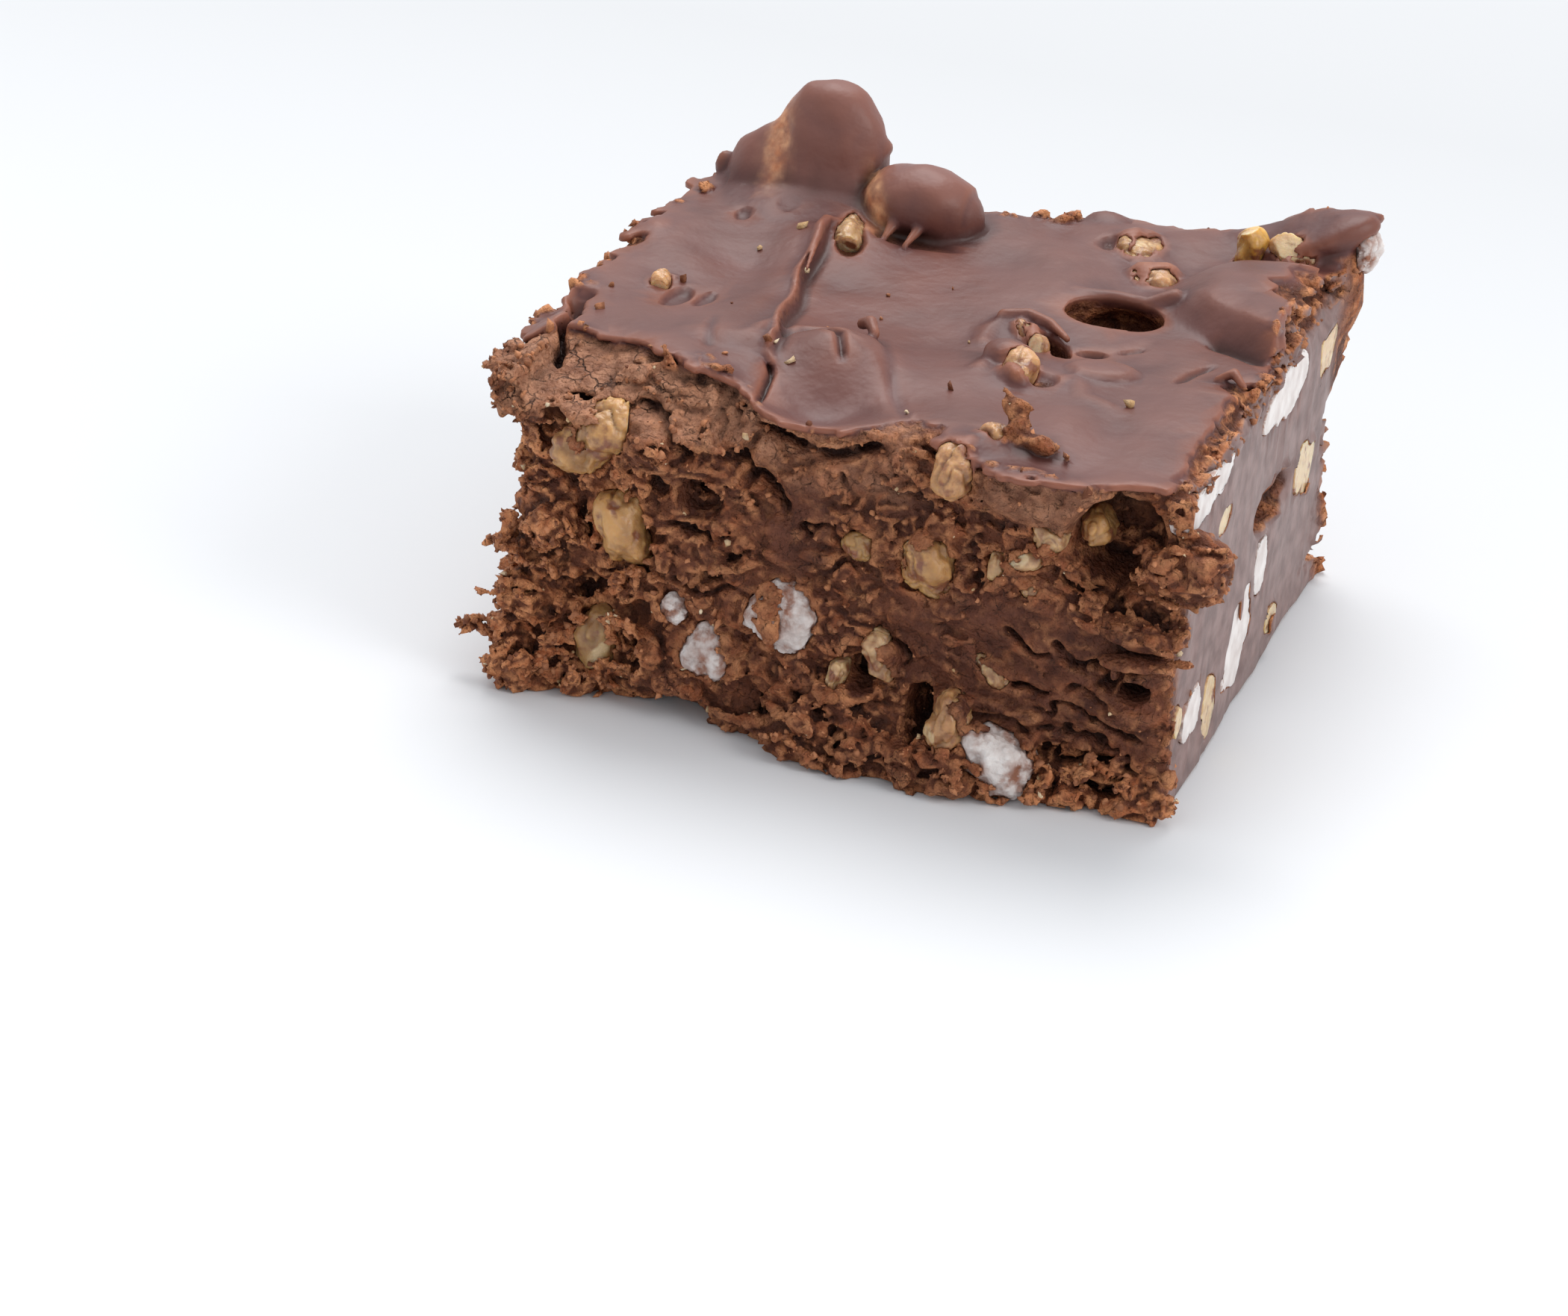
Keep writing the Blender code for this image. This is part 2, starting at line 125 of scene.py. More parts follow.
def to_line(u, v, points):
    """Distance of each place from a line through points, and the share along it."""
    best = np.full(np.broadcast(u, v).shape, 1e3, np.float32)
    share = np.zeros_like(best)
    runs = len(points) - 1
    for i, ((au, av), (bu, bv)) in enumerate(zip(points[:-1], points[1:])):
        du, dv = bu - au, bv - av
        t = np.clip(((u - au) * du + (v - av) * dv) / (du * du + dv * dv), 0.0, 1.0)
        d = np.hypot(u - au - t * du, v - av - t * dv)
        share = np.where(d < best, (i + t) / runs, share)
        best = np.minimum(best, d)
    return best, share


def groove(u, v, points, width, depth):
    """Depth of a groove along a line, running out at both its ends."""
    d, share = to_line(u, v, points)
    ends = np.clip(np.minimum(share, 1.0 - share) * 5.0 + 0.3, 0.0, 1.0)
    return depth * ends * np.exp(-((d / width) ** 2))


def front_form(x, z):
    """Large relief of the broken front."""
    out = 3.4 * band(x, 25.0, 44.0, 2.5) * (1.0 - step(z, 1.5, 8.0))
    out = out + 1.3 * band(x, 44.0, 61.0, 2.0) * (1.0 - step(z, 0.5, 6.0))
    out = out + 2.3 * band(x, 42.5, 53.0, 2.0) * step(z, 23.5, 27.0)
    foot = np.interp(x, BEVEL_FOOT_X, BEVEL_FOOT)
    out = out - np.interp(x, BEVEL_X, BEVEL_DEPTH) * np.clip((z - foot) / (HEIGHT - foot), 0.0, 1.2)
    out = out - 5.5 * patch(x, z, 54.0, 24.6, 3.9, 4.3)
    out = out - 3.0 * patch(x, z, 17.3, 21.4, 1.9, 2.0)
    out = out - 1.5 * band(z, 21.5, 25.0, 1.0) * (1.0 - step(x, 4.0, 9.0))
    out = out - 2.6 * patch(x, z, 38.2, 5.8, 1.3, 2.6)
    out = out - 2.0 * patch(x, z, 32.6, 8.0, 1.5, 1.6)
    out = out - 3.0 * band(x, 8.0, 19.0, 2.5) * (1.0 - step(z, 0.0, 3.6))
    return out


def left_form(y, z):
    """Large relief of the left end."""
    near = np.interp(z, LEFT_HEIGHT, LEFT_OUT)
    corner = 3.2 * band(y, 4.0, 17.0, 3.0) * step(z, 20.0, 25.0)
    bulge = 2.3 * band(y, 18.0, 40.0, 3.0) * step(z, 17.0, 24.0)
    low = 1.0 * band(y, 14.0, 46.0, 4.0) * (1.0 - step(z, 6.0, 14.0))
    return near * (1.0 - step(y, 4.0, 14.0)) + corner + bulge + low


def right_form(y, z):
    """Relief of the cut right side."""
    crevice = 2.2 * patch(y, z, 32.3, 16.8, 6.0, 1.9)
    crumbled = 1.3 * band(y, 38.0, 50.0, 2.0) * step(z, 26.5, HEIGHT)
    return -crevice - crumbled


def back_form(x, z):
    """Large relief of the back."""
    ledge = 3.8 * step(x, 31.0, 38.0) * step(z, 17.5, 21.5)
    notch = 3.0 * step(x, 46.0, 56.0) * band(z, 13.8, 15.4, 1.0)
    foot = 3.2 * step(x, 44.0, 54.0) * band(z, 2.4, 5.2, 1.2)
    return 0.6 + ledge - notch - foot


def spline_matrix(count, cell):
    """Weights that spread coarse random values smoothly over a run of voxels."""
    t = np.arange(count) * VOXEL / cell
    i = np.floor(t).astype(int)
    f = t - i
    weights = np.zeros((count, i.max() + 4), np.float32)
    rows = np.arange(count)
    weights[rows, i] = (1 - f) ** 3 / 6
    weights[rows, i + 1] = (3 * f ** 3 - 6 * f ** 2 + 4) / 6
    weights[rows, i + 2] = (-3 * f ** 3 + 3 * f ** 2 + 3 * f + 1) / 6
    weights[rows, i + 3] = f ** 3 / 6
    return weights


def coarse(mats, seed):
    """Random values at the coarse places whose weights are given."""
    shape = [m.shape[1] for m in mats]
    return np.random.default_rng(seed).standard_normal(shape).astype(np.float32)


def noise2(counts, cells, seed):
    """Smooth noise over a plane, with a spread of about 1."""
    mats = [spline_matrix(n, c) for n, c in zip(counts, cells)]
    return 2.1 * (mats[0] @ coarse(mats, seed) @ mats[1].T)


def noise3(cell, seed):
    """Smooth noise over the whole grid, with a spread of about 1."""
    mats = [spline_matrix(n, cell) for n in SHAPE]
    out = np.matmul(mats[1], np.tensordot(mats[0], coarse(mats, seed), 1))
    return 3.0 * np.matmul(out, mats[2].T)


def corners(f):
    """The eight corners of a cell, each with its share at the places f in the cell."""
    for corner in np.ndindex(2, 2, 2):
        near = np.where(corner, f, 1.0 - f)
        yield corner, near[:, 0] * near[:, 1] * near[:, 2]


LATTICE = np.random.default_rng(11).standard_normal((48, 48, 48)).astype(np.float32)


def noise_at(points, cell, seed):
    """Smooth noise at scattered points, with a spread of about 0.6."""
    p = points / cell + np.array((seed * 5.31, seed * 3.77, seed * 7.13))
    i = np.floor(p).astype(int)
    f = p - i
    f = f * f * (3.0 - 2.0 * f)
    out = np.zeros(len(points))
    for corner, share in corners(f):
        out += share * LATTICE[tuple(((i + corner) % 48).T)]
    return out


HASH = np.random.default_rng(13).random((32, 32, 32, 4)).astype(np.float32)


def grains(points, size, seed):
    """Nearest and next distance to scattered grain centres, and the nearest one's number and tilt."""
    p = (points / size + seed * 7.37).astype(np.float32)
    base = np.floor(p - 0.5).astype(np.int32)
    first = np.full(len(p), 9.0, np.float32)
    second = first.copy()
    tag = np.zeros_like(first)
    tilt = np.zeros_like(first)
    for corner in np.ndindex(2, 2, 2):
        cell = base + np.array(corner, np.int32)
        h = HASH[cell[:, 0] % 32, cell[:, 1] % 32, cell[:, 2] % 32]
        d = p - (cell + 0.1 + 0.8 * h[:, :3])
        dist = np.sqrt(np.einsum("ij,ij->i", d, d))
        closer = dist < first
        second = np.where(closer, first, np.minimum(second, dist))
        tag = np.where(closer, h[:, 3], tag)
        way = HASH[cell[:, 1] % 32, cell[:, 2] % 32, (cell[:, 0] + seed) % 32, :3] - 0.5
        tilt = np.where(closer, np.einsum("ij,ij->i", d, way), tilt)
        first = np.minimum(first, dist)
    return first, second, tag, tilt


def smooth_max(a, b, k):
    """The larger of two fields, rounded over k where they meet."""
    h = np.clip(0.5 + 0.5 * (a - b) / k, 0.0, 1.0)
    return b + (a - b) * h + k * h * (1.0 - h)


def window(centre, reach):
    """The part of the grid within reach of a centre, and its coordinates."""
    centre, reach = np.asarray(centre, float), np.asarray(reach, float)
    low = np.clip(((centre - reach - GRID_LOW) / VOXEL).astype(int), 0, None)
    high = np.clip(((centre + reach - GRID_LOW) / VOXEL).astype(int) + 2, None, SHAPE)
    cut = tuple(slice(a, max(a + 1, b)) for a, b in zip(low, high))
    return cut, X[cut[0]][:, None, None], Y[cut[1]][None, :, None], Z[cut[2]][None, None, :]


def turned(turn):
    """Rotation matrix of turns about x, y and z in degrees."""
    return np.array(Matrix.Rotation(math.radians(turn[2]), 3, "Z")
                    @ Matrix.Rotation(math.radians(turn[1]), 3, "Y")
                    @ Matrix.Rotation(math.radians(turn[0]), 3, "X"))


def oval(centre, half, turn=(0, 0, 0), margin=1.5):
    """Window and distance of a turned ellipsoid."""
    cut, gx, gy, gz = window(centre, max(half) + margin)
    px, py, pz = gx - centre[0], gy - centre[1], gz - centre[2]
    if any(turn):
        r = turned(turn)
        px, py, pz = (px * r[0, j] + py * r[1, j] + pz * r[2, j] for j in range(3))
    k0 = np.sqrt((px / half[0]) ** 2 + (py / half[1]) ** 2 + (pz / half[2]) ** 2)
    k1 = np.sqrt((px / half[0] ** 2) ** 2 + (py / half[1] ** 2) ** 2 + (pz / half[2] ** 2) ** 2)
    return cut, k0 * (k0 - 1.0) / np.maximum(k1, 1e-4)


def rod(points, radii, margin=1.2):
    """Window and distance of a rod through points, its radius changing along it."""
    points = np.asarray(points, float)
    middle = (points.min(0) + points.max(0)) / 2.0
    reach = (points.max(0) - points.min(0)) / 2.0 + max(radii) + margin
    cut, gx, gy, gz = window(middle, reach)
    best = None
    for a, b, ra, rb in zip(points[:-1], points[1:], radii[:-1], radii[1:]):
        d = b - a
        t = ((gx - a[0]) * d[0] + (gy - a[1]) * d[1] + (gz - a[2]) * d[2]) / (d @ d)
        t = np.clip(t, 0.0, 1.0)
        px, py, pz = gx - a[0] - t * d[0], gy - a[1] - t * d[1], gz - a[2] - t * d[2]
        dist = np.sqrt(px ** 2 + py ** 2 + pz ** 2) - (ra + (rb - ra) * t)
        best = dist if best is None else np.minimum(best, dist)
    return cut, best


def add(field, shape, k=0.2):
    """Joins a shape to the field."""
    cut, dist = shape
    field[cut] = -smooth_max(-field[cut], -dist, k)


def carve(field, shape, k=0.15):
    """Cuts a shape out of the field."""
    cut, dist = shape
    field[cut] = smooth_max(field[cut], -dist, k)


def ovals(field, rows, change):
    """Joins or cuts ovals, each given by its centre, half size, turn and rounding."""
    for centre, half, turn, k in rows:
        change(field, oval(centre, half, turn), k)


def rods(field, rows):
    """Joins rods, each given by its points, radii and rounding."""
    for points, radii, k in rows:
        add(field, rod(points, radii), k)


def crumbliness(x, z):
    """How crumbly the front is: 1 for the porous left and low rows, little on smears."""
    out = 0.55 + 0.5 * (1.0 - step(x, 9.0, 16.0)) * (1.0 - step(z, 22.0, 25.5))
    out = out - 0.5 * band(x, 41.0, 58.5, 2.0) * band(z, 5.5, 17.5, 1.2)
    out = out - 0.42 * patch(x, z, 37.5, 12.0, 3.0, 4.5)
    out = out - 0.4 * patch(x, z, 48.5, 27.8, 6.5, 2.6)
    out = out - 0.42 * patch(x, z, 26.5, 20.5, 3.4, 5.0)
    out = out + 0.10 * step(z, 25.0, 27.0)
    out = out + 0.4 * step(x, 44.0, 48.0) * (1.0 - step(z, 3.5, 5.0))
    return np.clip(out, 0.13, 1.0)


# Cracks of the front, each a line of (x, z) points with its width and depth
FRONT_CRACKS = (
    (((9.0, 27.6), (11.5, 28.0), (13.4, 27.2), (15.4, 26.4), (17.2, 25.2)), 0.40, 1.8),
    (((20.0, 24.6), (22.4, 24.3), (24.4, 23.0), (25.8, 21.0)), 0.38, 1.6),
    (((30.2, 26.2), (31.0, 24.2), (29.8, 22.4)), 0.35, 0.9),
    (((31.5, 20.8), (29.2, 19.6), (27.5, 19.2)), 0.35, 1.2),
    (((45.2, 15.2), (47.2, 13.9), (49.6, 13.4)), 0.28, 1.5),
    (((49.8, 14.6), (51.4, 13.4), (52.8, 12.5), (54.6, 13.4), (57.4, 13.9)), 0.36, 1.8),
    (((44.6, 10.2), (47.2, 9.9), (49.4, 10.4)), 0.40, 1.7),
    (((50.6, 10.9), (53.6, 10.5), (56.0, 9.4)), 0.22, 0.9),
    (((48.4, 8.3), (52.0, 8.7), (55.2, 8.1), (58.0, 6.9)), 0.25, 1.2),
    (((45.5, 7.6), (48.0, 6.6), (50.4, 6.9)), 0.25, 0.9),
    (((50.8, 6.2), (54.0, 5.8), (57.5, 5.2)), 0.30, 1.2),
    (((46.2, 4.8), (50.2, 4.1), (54.6, 4.2), (58.4, 3.2)), 0.42, 1.6),
    (((48.2, 2.6), (52.4, 2.0), (56.2, 1.6)), 0.36, 1.3),
    (((33.8, 13.2), (36.4, 11.2), (36.9, 8.8)), 0.30, 1.2),
    (((24.8, 5.2), (23.9, 3.0), (24.4, 0.6)), 0.42, 1.8),
    (((26.0, 6.6), (28.6, 5.0), (29.4, 2.4)), 0.30, 1.0),
    (((31.6, 3.4), (32.4, 1.4), (32.2, 0.0)), 0.40, 1.5),
    (((13.2, 19.0), (15.0, 18.1), (17.0, 18.3), (20.2, 19.2)), 0.35, 1.3),
    (((13.4, 14.0), (16.0, 13.5), (20.4, 13.9), (22.3, 13.1)), 0.35, 1.2),
    (((18.8, 16.8), (21.6, 16.2), (23.6, 17.0)), 0.32, 1.0),
    (((3.4, 21.2), (5.0, 19.9), (7.2, 20.6)), 0.55, 1.8),
    (((5.6, 18.6), (7.0, 16.2), (7.9, 13.6)), 0.60, 2.2),
    (((1.0, 17.6), (3.2, 16.8), (4.8, 17.6)), 0.50, 1.4),
    (((2.6, 11.4), (4.4, 9.8), (7.0, 10.2), (9.8, 9.6)), 0.60, 2.0),
    (((-1.0, 8.6), (1.6, 7.4), (4.0, 7.8)), 0.50, 1.6),
    (((9.6, 8.6), (11.6, 6.6), (11.9, 4.0)), 0.70, 2.2),
    (((42.8, 22.6), (42.0, 20.2), (42.4, 18.0)), 0.30, 1.0),
    (((49.2, 21.6), (51.8, 20.0), (55.0, 20.4)), 0.45, 1.6),
)


def front_map():
    """The broken front's full relief on the grid's x and z."""
    x, z = X[:, None], Z[None, :]
    counts = (SHAPE[0], SHAPE[2])
    out = front_form(x, z).astype(np.float32)
    rough = crumbliness(x, z)
    out += 0.50 * noise2(counts, (5.2, 4.2), 21) * (0.5 + 0.5 * rough)
    out += rough * 0.30 * noise2(counts, (2.3, 1.9), 22)
    # Smears dragged sideways by the knife over the smooth parts
    smear = 1.0 - rough
    out += smear * 0.22 * noise2(counts, (3.6, 0.8), 24)
    for points, width, depth in FRONT_CRACKS:
        wander = 0.45 * noise2(counts, (1.3, 1.3), 25) + 0.22 * noise2(counts, (0.5, 0.5), 26)
        out -= groove(x + wander, z - wander, points, width, depth)
    # Knife streaks down the bevel and the dark gap below the poured skin
    for at in (16.8, 18.4, 19.9, 21.4):
        out -= groove(x, z, ((at + 2.6, 30.6), (at, 26.6), (at - 1.2, 24.2)), 0.42, 0.5)
    out -= groove(x, z, ((22.0, 28.7), (25.6, 27.4), (29.4, 27.5), (33.4, 29.2)), 0.45, 2.2)
    # Flaps that curl forward
    out += 1.6 * patch(x, z, 31.4, 6.2, 1.5, 1.0) + 1.3 * patch(x, z, 43.8, 8.0, 2.6, 0.9)
    out += 1.0 * patch(x, z, 47.5, 7.6, 1.8, 0.8) + 0.9 * patch(x, z, 56.4, 9.2, 2.6, 1.1)
    out += 0.9 * patch(x, z, 28.4, 18.4, 1.9, 0.7) + 0.9 * patch(x, z, 40.2, 16.0, 1.8, 0.9)
    return out


# Lines of the top: shift, points, width and height, which is below 0 for a groove
MOUND_ARC = ((18.3, 12.0), (18.8, 15.8), (20.4, 18.4), (24.2, 19.6))
MOUND_EDGE = ((25.0, 20.6), (26.8, 17.0), (29.8, 10.0), (33.2, 3.8))
UNMOVED = (0.0, 0.0)
TOP_LINES = (
    # Creases and lips of the mound
    (UNMOVED, MOUND_ARC, 0.7, -0.45),
    ((1.0, -0.9), MOUND_ARC, 0.8, 0.35),
    (UNMOVED, MOUND_EDGE, 1.1, 0.22),
    ((-1.3, 0.0), MOUND_EDGE, 0.6, -0.22),
    (UNMOVED, ((22.6, 15.6), (24.4, 14.8), (25.9, 11.6)), 0.40, -0.8),
    (UNMOVED, ((19.6, 10.4), (20.6, 8.4), (21.3, 3.2)), 0.3, -0.9),
    (UNMOVED, ((12.6, 16.0), (13.6, 12.0), (14.6, 9.0)), 0.5, -0.25),
    # Rims round the pockets and nuts at the right
    (UNMOVED, ((34.4, 24.0), (33.9, 27.6), (35.6, 31.2)), 1.0, 0.5),
    (UNMOVED, ((36.4, 16.2), (36.4, 19.6), (38.2, 22.6)), 0.8, 0.4),
    (UNMOVED, ((42.6, 17.0), (44.6, 19.4), (46.2, 15.4), (50.2, 13.6)), 0.8, 0.28),
    (UNMOVED, ((52.8, 32.2), (55.6, 30.6), (59.0, 28.0)), 0.8, -0.9),
    (UNMOVED, ((52.9, 21.2), (53.6, 23.8), (54.8, 26.2)), 0.4, -0.6),
    (UNMOVED, ((46.2, 26.9), (48.0, 28.4)), 0.35, -0.5),
)

# Shallow dents and swellings of the top: height, place and half size
TOP_PATCHES = (
    (-0.7, 44.0, 25.9, 1.5, 0.7),
    (0.7, 46.2, 21.6, 3.4, 2.4),
    (-0.5, 9.6, 43.6, 1.2, 1.6),
    (-0.4, 6.0, 41.0, 0.8, 1.2),
    (-0.6, 7.0, 21.4, 1.2, 3.0),
    (-0.4, 9.4, 22.0, 0.8, 2.6),
)

# The crack that sets the broken left corner apart
CORNER_CRACK = ((-0.9, 18.5), (0.6, 12.6), (1.2, 8.4), (2.4, 4.6))


def hill(x, y, at_x, at_y, wide, deep):
    """A soft round hill, 1 at its middle."""
    return np.exp(-(((x - at_x) / wide) ** 2) - (((y - at_y) / deep) ** 2))


def top_map():
    """The poured top's relief on the grid's x and y."""
    x, y = X[:, None], Y[None, :]
    counts = SHAPE[:2]
    fold = np.interp(y, FOLD_Y, FOLD_X) + 0.25 * np.sin(y * 0.55)
    along = band(y, 11.0, 40.5, 1.5)
    out = 1.0 * step(x, 9.5, 15.0) * (1.0 - step(x, fold, fold + 0.5)) * along
    out = out + 0.42 * np.exp(-(((x - fold) / 0.40) ** 2)) * along
    out = out - 0.22 * np.exp(-(((x - fold - 0.85) / 0.5) ** 2)) * along
    # The mound, the hollow before it and the back edge with its right corner
    out = out + 2.9 * hill(x, y, 24.2, 14.8, 4.4, 4.4)
    out = out - 2.0 * hill(x, y, 26.0, 5.0, 4.6, 4.2)
    out = out + 0.6 * step(y, 47.0, 54.0) * step(x, 30.0, 36.0)
    out = out + 3.4 * step(x, 49.5, 57.5) * step(y, 49.0, 57.5)
    # The raised block at the right
    crease = np.interp(x, (47.5, 52.5, 59.0), (34.5, 32.0, 28.5))
    ramp = np.interp(x, (47.5, 52.0, 59.0), (7.0, 4.4, 2.6))
    block = step(y, crease, crease + ramp) * (1.0 - step(y, 46.5, 51.5))
    rise = step(x + 0.5 * noise2(counts, (3.0, 3.0), 34), 45.6, 52.4)
    out = out + 2.4 * rise * (1.0 - step(x, 58.8, 60.4)) * block
    out = out + 0.5 * step(x, 49.5, 55.0) * band(y, -2.0, 21.0, 2.0)
    out = out - 1.6 * (1.0 - step(x, -3.0, 0.8)) * band(y, -3.0, 17.0, 2.0)
    for shift, points, width, height in TOP_LINES:
        out = out + groove(x + shift[0], y + shift[1], points, width, height)
    for height, at_x, at_y, half_x, half_y in TOP_PATCHES:
        out = out + height * patch(x, y, at_x, at_y, half_x, half_y)
    ragged = 0.25 * noise2(counts, (0.9, 0.9), 31)
    out = out - groove(x + ragged, y, CORNER_CRACK, 0.5, 3.2)
    return out + 0.42 * noise2(counts, (8.0, 8.0), 32) + 0.15 * noise2(counts, (3.2, 3.2), 33)


def side_maps():
    """Relief of the left, right and back on the grid."""
    y, z = Y[:, None], Z[None, :]
    counts = SHAPE[1:]
    left = left_form(y, z) + 0.5 * noise2(counts, (3.8, 3.4), 41) + 0.35 * noise2(counts, (1.6, 1.4), 42)
    right = right_form(y, z) + 0.10 * noise2(counts, (5.0, 6.0), 43) + 0.035 * noise2(counts, (0.7, 5.0), 44)
    torn = patch(y, z, 32.3, 16.8, 7.0, 2.6)
    right += torn * 0.5 * noise2(counts, (1.2, 0.9), 45)
    # Flakes lifted along the right side's top edge behind the raised block
    right -= 0.8 * band(y, 36.0, 51.0, 1.0) * step(z, 28.0, 31.0) * (1.0 + noise2(counts, (1.2, 1.0), 46))
    x = X[:, None]
    counts = (SHAPE[0], SHAPE[2])
    back = back_form(x, z) + 0.45 * noise2(counts, (4.2, 3.6), 47) + 0.3 * noise2(counts, (1.7, 1.5), 48)
    return left, right, back


def scatter(field, rng, count, place, radii, cutting, k):
    """Adds or cuts many small uneven balls at places that a function draws."""
    for _ in range(count):
        centre = place(rng)
        if centre is None:
            continue
        half = rng.uniform(*radii) * rng.uniform(0.7, 1.3, 3)
        shape = oval(centre, half, margin=0.5)
        (carve if cutting else add)(field, shape, k)


def lookup(plane, u, v, low_u, low_v):
    """Value of a relief plane at one place."""
    i = min(max(int((u - low_u) / VOXEL), 0), plane.shape[0] - 1)
    j = min(max(int((v - low_v) / VOXEL), 0), plane.shape[1] - 1)
    return float(plane[i, j])


def solid_array(pieces):
    """Distances from the nuts and marshmallows, on the grid."""
    points, faces, start = [], [], 0
    for piece in pieces:
        mesh = piece.data
        mesh.calc_loop_triangles()
        tri = read(mesh.loop_triangles, "vertices", 3, np.int32)
        points.append(vertices(mesh) - GRID_LOW)
        faces.append(tri + start)
        start += len(mesh.vertices)
    grid = openvdb.FloatGrid.createLevelSetFromPolygons(
        np.concatenate(points).astype(np.float32),
        triangles=np.concatenate(faces).astype(np.uint32),
        transform=openvdb.createLinearTransform(VOXEL), halfWidth=BAND)
    out = np.zeros(SHAPE, np.float32)
    grid.copyToArray(out, ijk=(0, 0, 0))
    return out


def plain_field(front, top, left, right, back):
    """The block without its poured skin, and the distance below the top."""
    gx, gy, gz = X[:, None, None], Y[None, :, None], Z[None, None, :]
    f_top = (gz - HEIGHT - top[:, :, None]).astype(np.float32)
    field = smooth_max(-(gy + front[:, None, :]), -(gx + left[None, :, :]), 1.6)
    field = smooth_max(field, (gy - DEPTH - back[:, None, :]), 1.4)
    field = smooth_max(field, (gx - WIDTH - right[None, :, :]), 0.5)
    edge = 0.9 * step(gx, 57.6, 59.6) * band(gy, -3.0, 22.0, 1.0)
    return smooth_max(field, f_top + SKIN_LEDGE + edge, 0.6).astype(np.float32), f_top


def skin_field(f_top, right):
    """The thin poured skin with its clean rim."""
    gx, gy, gz = X[:, None, None], Y[None, :, None], Z[None, None, :]
    counts = SHAPE[:2]
    rag = 0.30 * noise2(counts, (1.3, 1.3), 35) + 0.22 * noise2(counts, (0.55, 0.55), 36)
    near = np.interp(X, SKIN_X, SKIN_FRONT)[:, None] - Y[None, :] + rag
    slope = np.gradient(np.interp(X, SKIN_X, SKIN_FRONT), VOXEL)[:, None]
    near = near / np.sqrt(1.0 + slope ** 2)
    left = np.interp(Y, SKIN_Y, SKIN_LEFT)[None, :] - X[:, None] + 2.2 * rag
    far = Y[None, :] - DEPTH - 0.8 - 3.6 * step(X, 31.0, 38.0)[:, None] + rag
    ends = X[:, None] - np.interp(Y, SKIN_Y, SKIN_RIGHT)[None, :] + 0.6 * rag
    rim = np.maximum(np.maximum(near, left), np.maximum(far, ends)).astype(np.float32)
    slab = smooth_max(f_top, -(f_top + SKIN), 0.3)
    slab = smooth_max(slab, rim[:, :, None], 0.35)
    return smooth_max(slab, (gx - WIDTH - right[None, :, :]), 0.3).astype(np.float32)


# Clumps, crumbs and grains: size, uneven lift, roundness, tilt, crease, seed
CRUMB_SIZES = (
    (4.6, 0.26, 0.12, 0.85, 0.09, 1),
    (1.9, 0.50, 0.22, 1.30, 0.16, 2),
    (0.85, 0.60, 0.38, 1.30, 0.16, 3),
)


def roughen(field, amount):
    """Breaks the crumbly faces into clumps, crumbs and grains."""
    near = (np.abs(field) < 2.2) & (amount > 0.03)
    ix, iy, iz = np.nonzero(near)
    rough = amount[near]
    points = np.stack([X[ix], Y[iy], Z[iz]], 1)
    for axis, seed in enumerate((81, 82, 83)):
        points[:, axis] += 0.30 * noise3(1.1, seed)[near]
    change = np.zeros(len(rough), np.float32)
    for size, lift, roundness, lean, crease, seed in CRUMB_SIZES:
        first, second, tag, tilt = grains(points * (0.9, 1.0, 1.35), size, seed)
        rise = lift * (tag - 0.5) + roundness * (0.5 - first) + lean * tilt
        rise = rise - crease * np.exp(-(((second - first) / 0.16) ** 2))
        gone = (tag < 0.12) * (0.9 if size > 0.8 else 0.0) * np.clip(rough * 1.6 - 0.5, 0.0, 1.0)
        change += rise * size * np.clip(rough, 0.0, 1.0) - gone * size * 0.5
    field[near] -= change
    return field


# Shapes joined to or cut out of the block: centre, half size, turn and rounding
FLAT = (0, 0, 0)
FRONT_HOLLOWS = (
    ((5.9, 2.6, 26.5), (3.0, 3.6, 1.1), FLAT, 0.2),
    ((54.2, 1.6, 24.9), (3.4, 4.6, 3.9), FLAT, 0.3),
    ((17.3, 1.0, 21.4), (1.5, 3.2, 1.6), FLAT, 0.2),
    ((38.3, 0.2, 5.8), (0.9, 4.2, 2.4), FLAT, 0.2),
    ((32.7, 0.2, 8.0), (1.1, 3.0, 1.1), FLAT, 0.2),
    ((56.6, 0.2, 11.4), (1.4, 3.0, 1.0), FLAT, 0.2),
)
BLOCK_LUMPS = (
    # Chunks and flaps at the right of the front
    ((60.0, 0.8, 23.4), (3.7, 3.8, 3.4), (0, 10, 0), 0.5),
    ((61.6, 1.0, 24.6), (2.2, 2.4, 1.6), (0, -12, 0), 0.3),
    ((57.6, -0.2, 14.9), (4.5, 2.4, 0.75), (0, -6, 0), 0.3),
    ((55.6, -0.6, 17.6), (4.6, 1.6, 1.4), (0, 14, 0), 0.4),
    # The side flares out under the corner flap
    ((58.4, 54.6, 29.0), (3.1, 3.0, 5.4), (0, -6, 0), 1.5),
)
COATED_NUTS = (
    ((10.4, 51.0, 33.3), (5.8, 4.4, 8.2), (0, 4, 0), 1.6),
    ((10.0, 47.6, 30.2), (6.4, 5.0, 2.6), FLAT, 3.0),
    ((5.4, 50.6, 31.6), (4.4, 3.6, 5.4), (0, 22, 0), 1.6),
    ((0.4, 51.0, 31.6), (0.9, 1.0, 1.4), FLAT, 0.5),
    ((15.8, 51.2, 35.8), (0.8, 1.0, 0.7), FLAT, 0.4),
    ((21.3, 47.8, 31.8), (5.7, 4.2, 4.0), (0, 8, 0), 0.8),
)
UNDER_NUT = (((22.4, 43.0, 30.6), (4.4, 1.0, 0.9), (0, 0, 6), 0.5),)
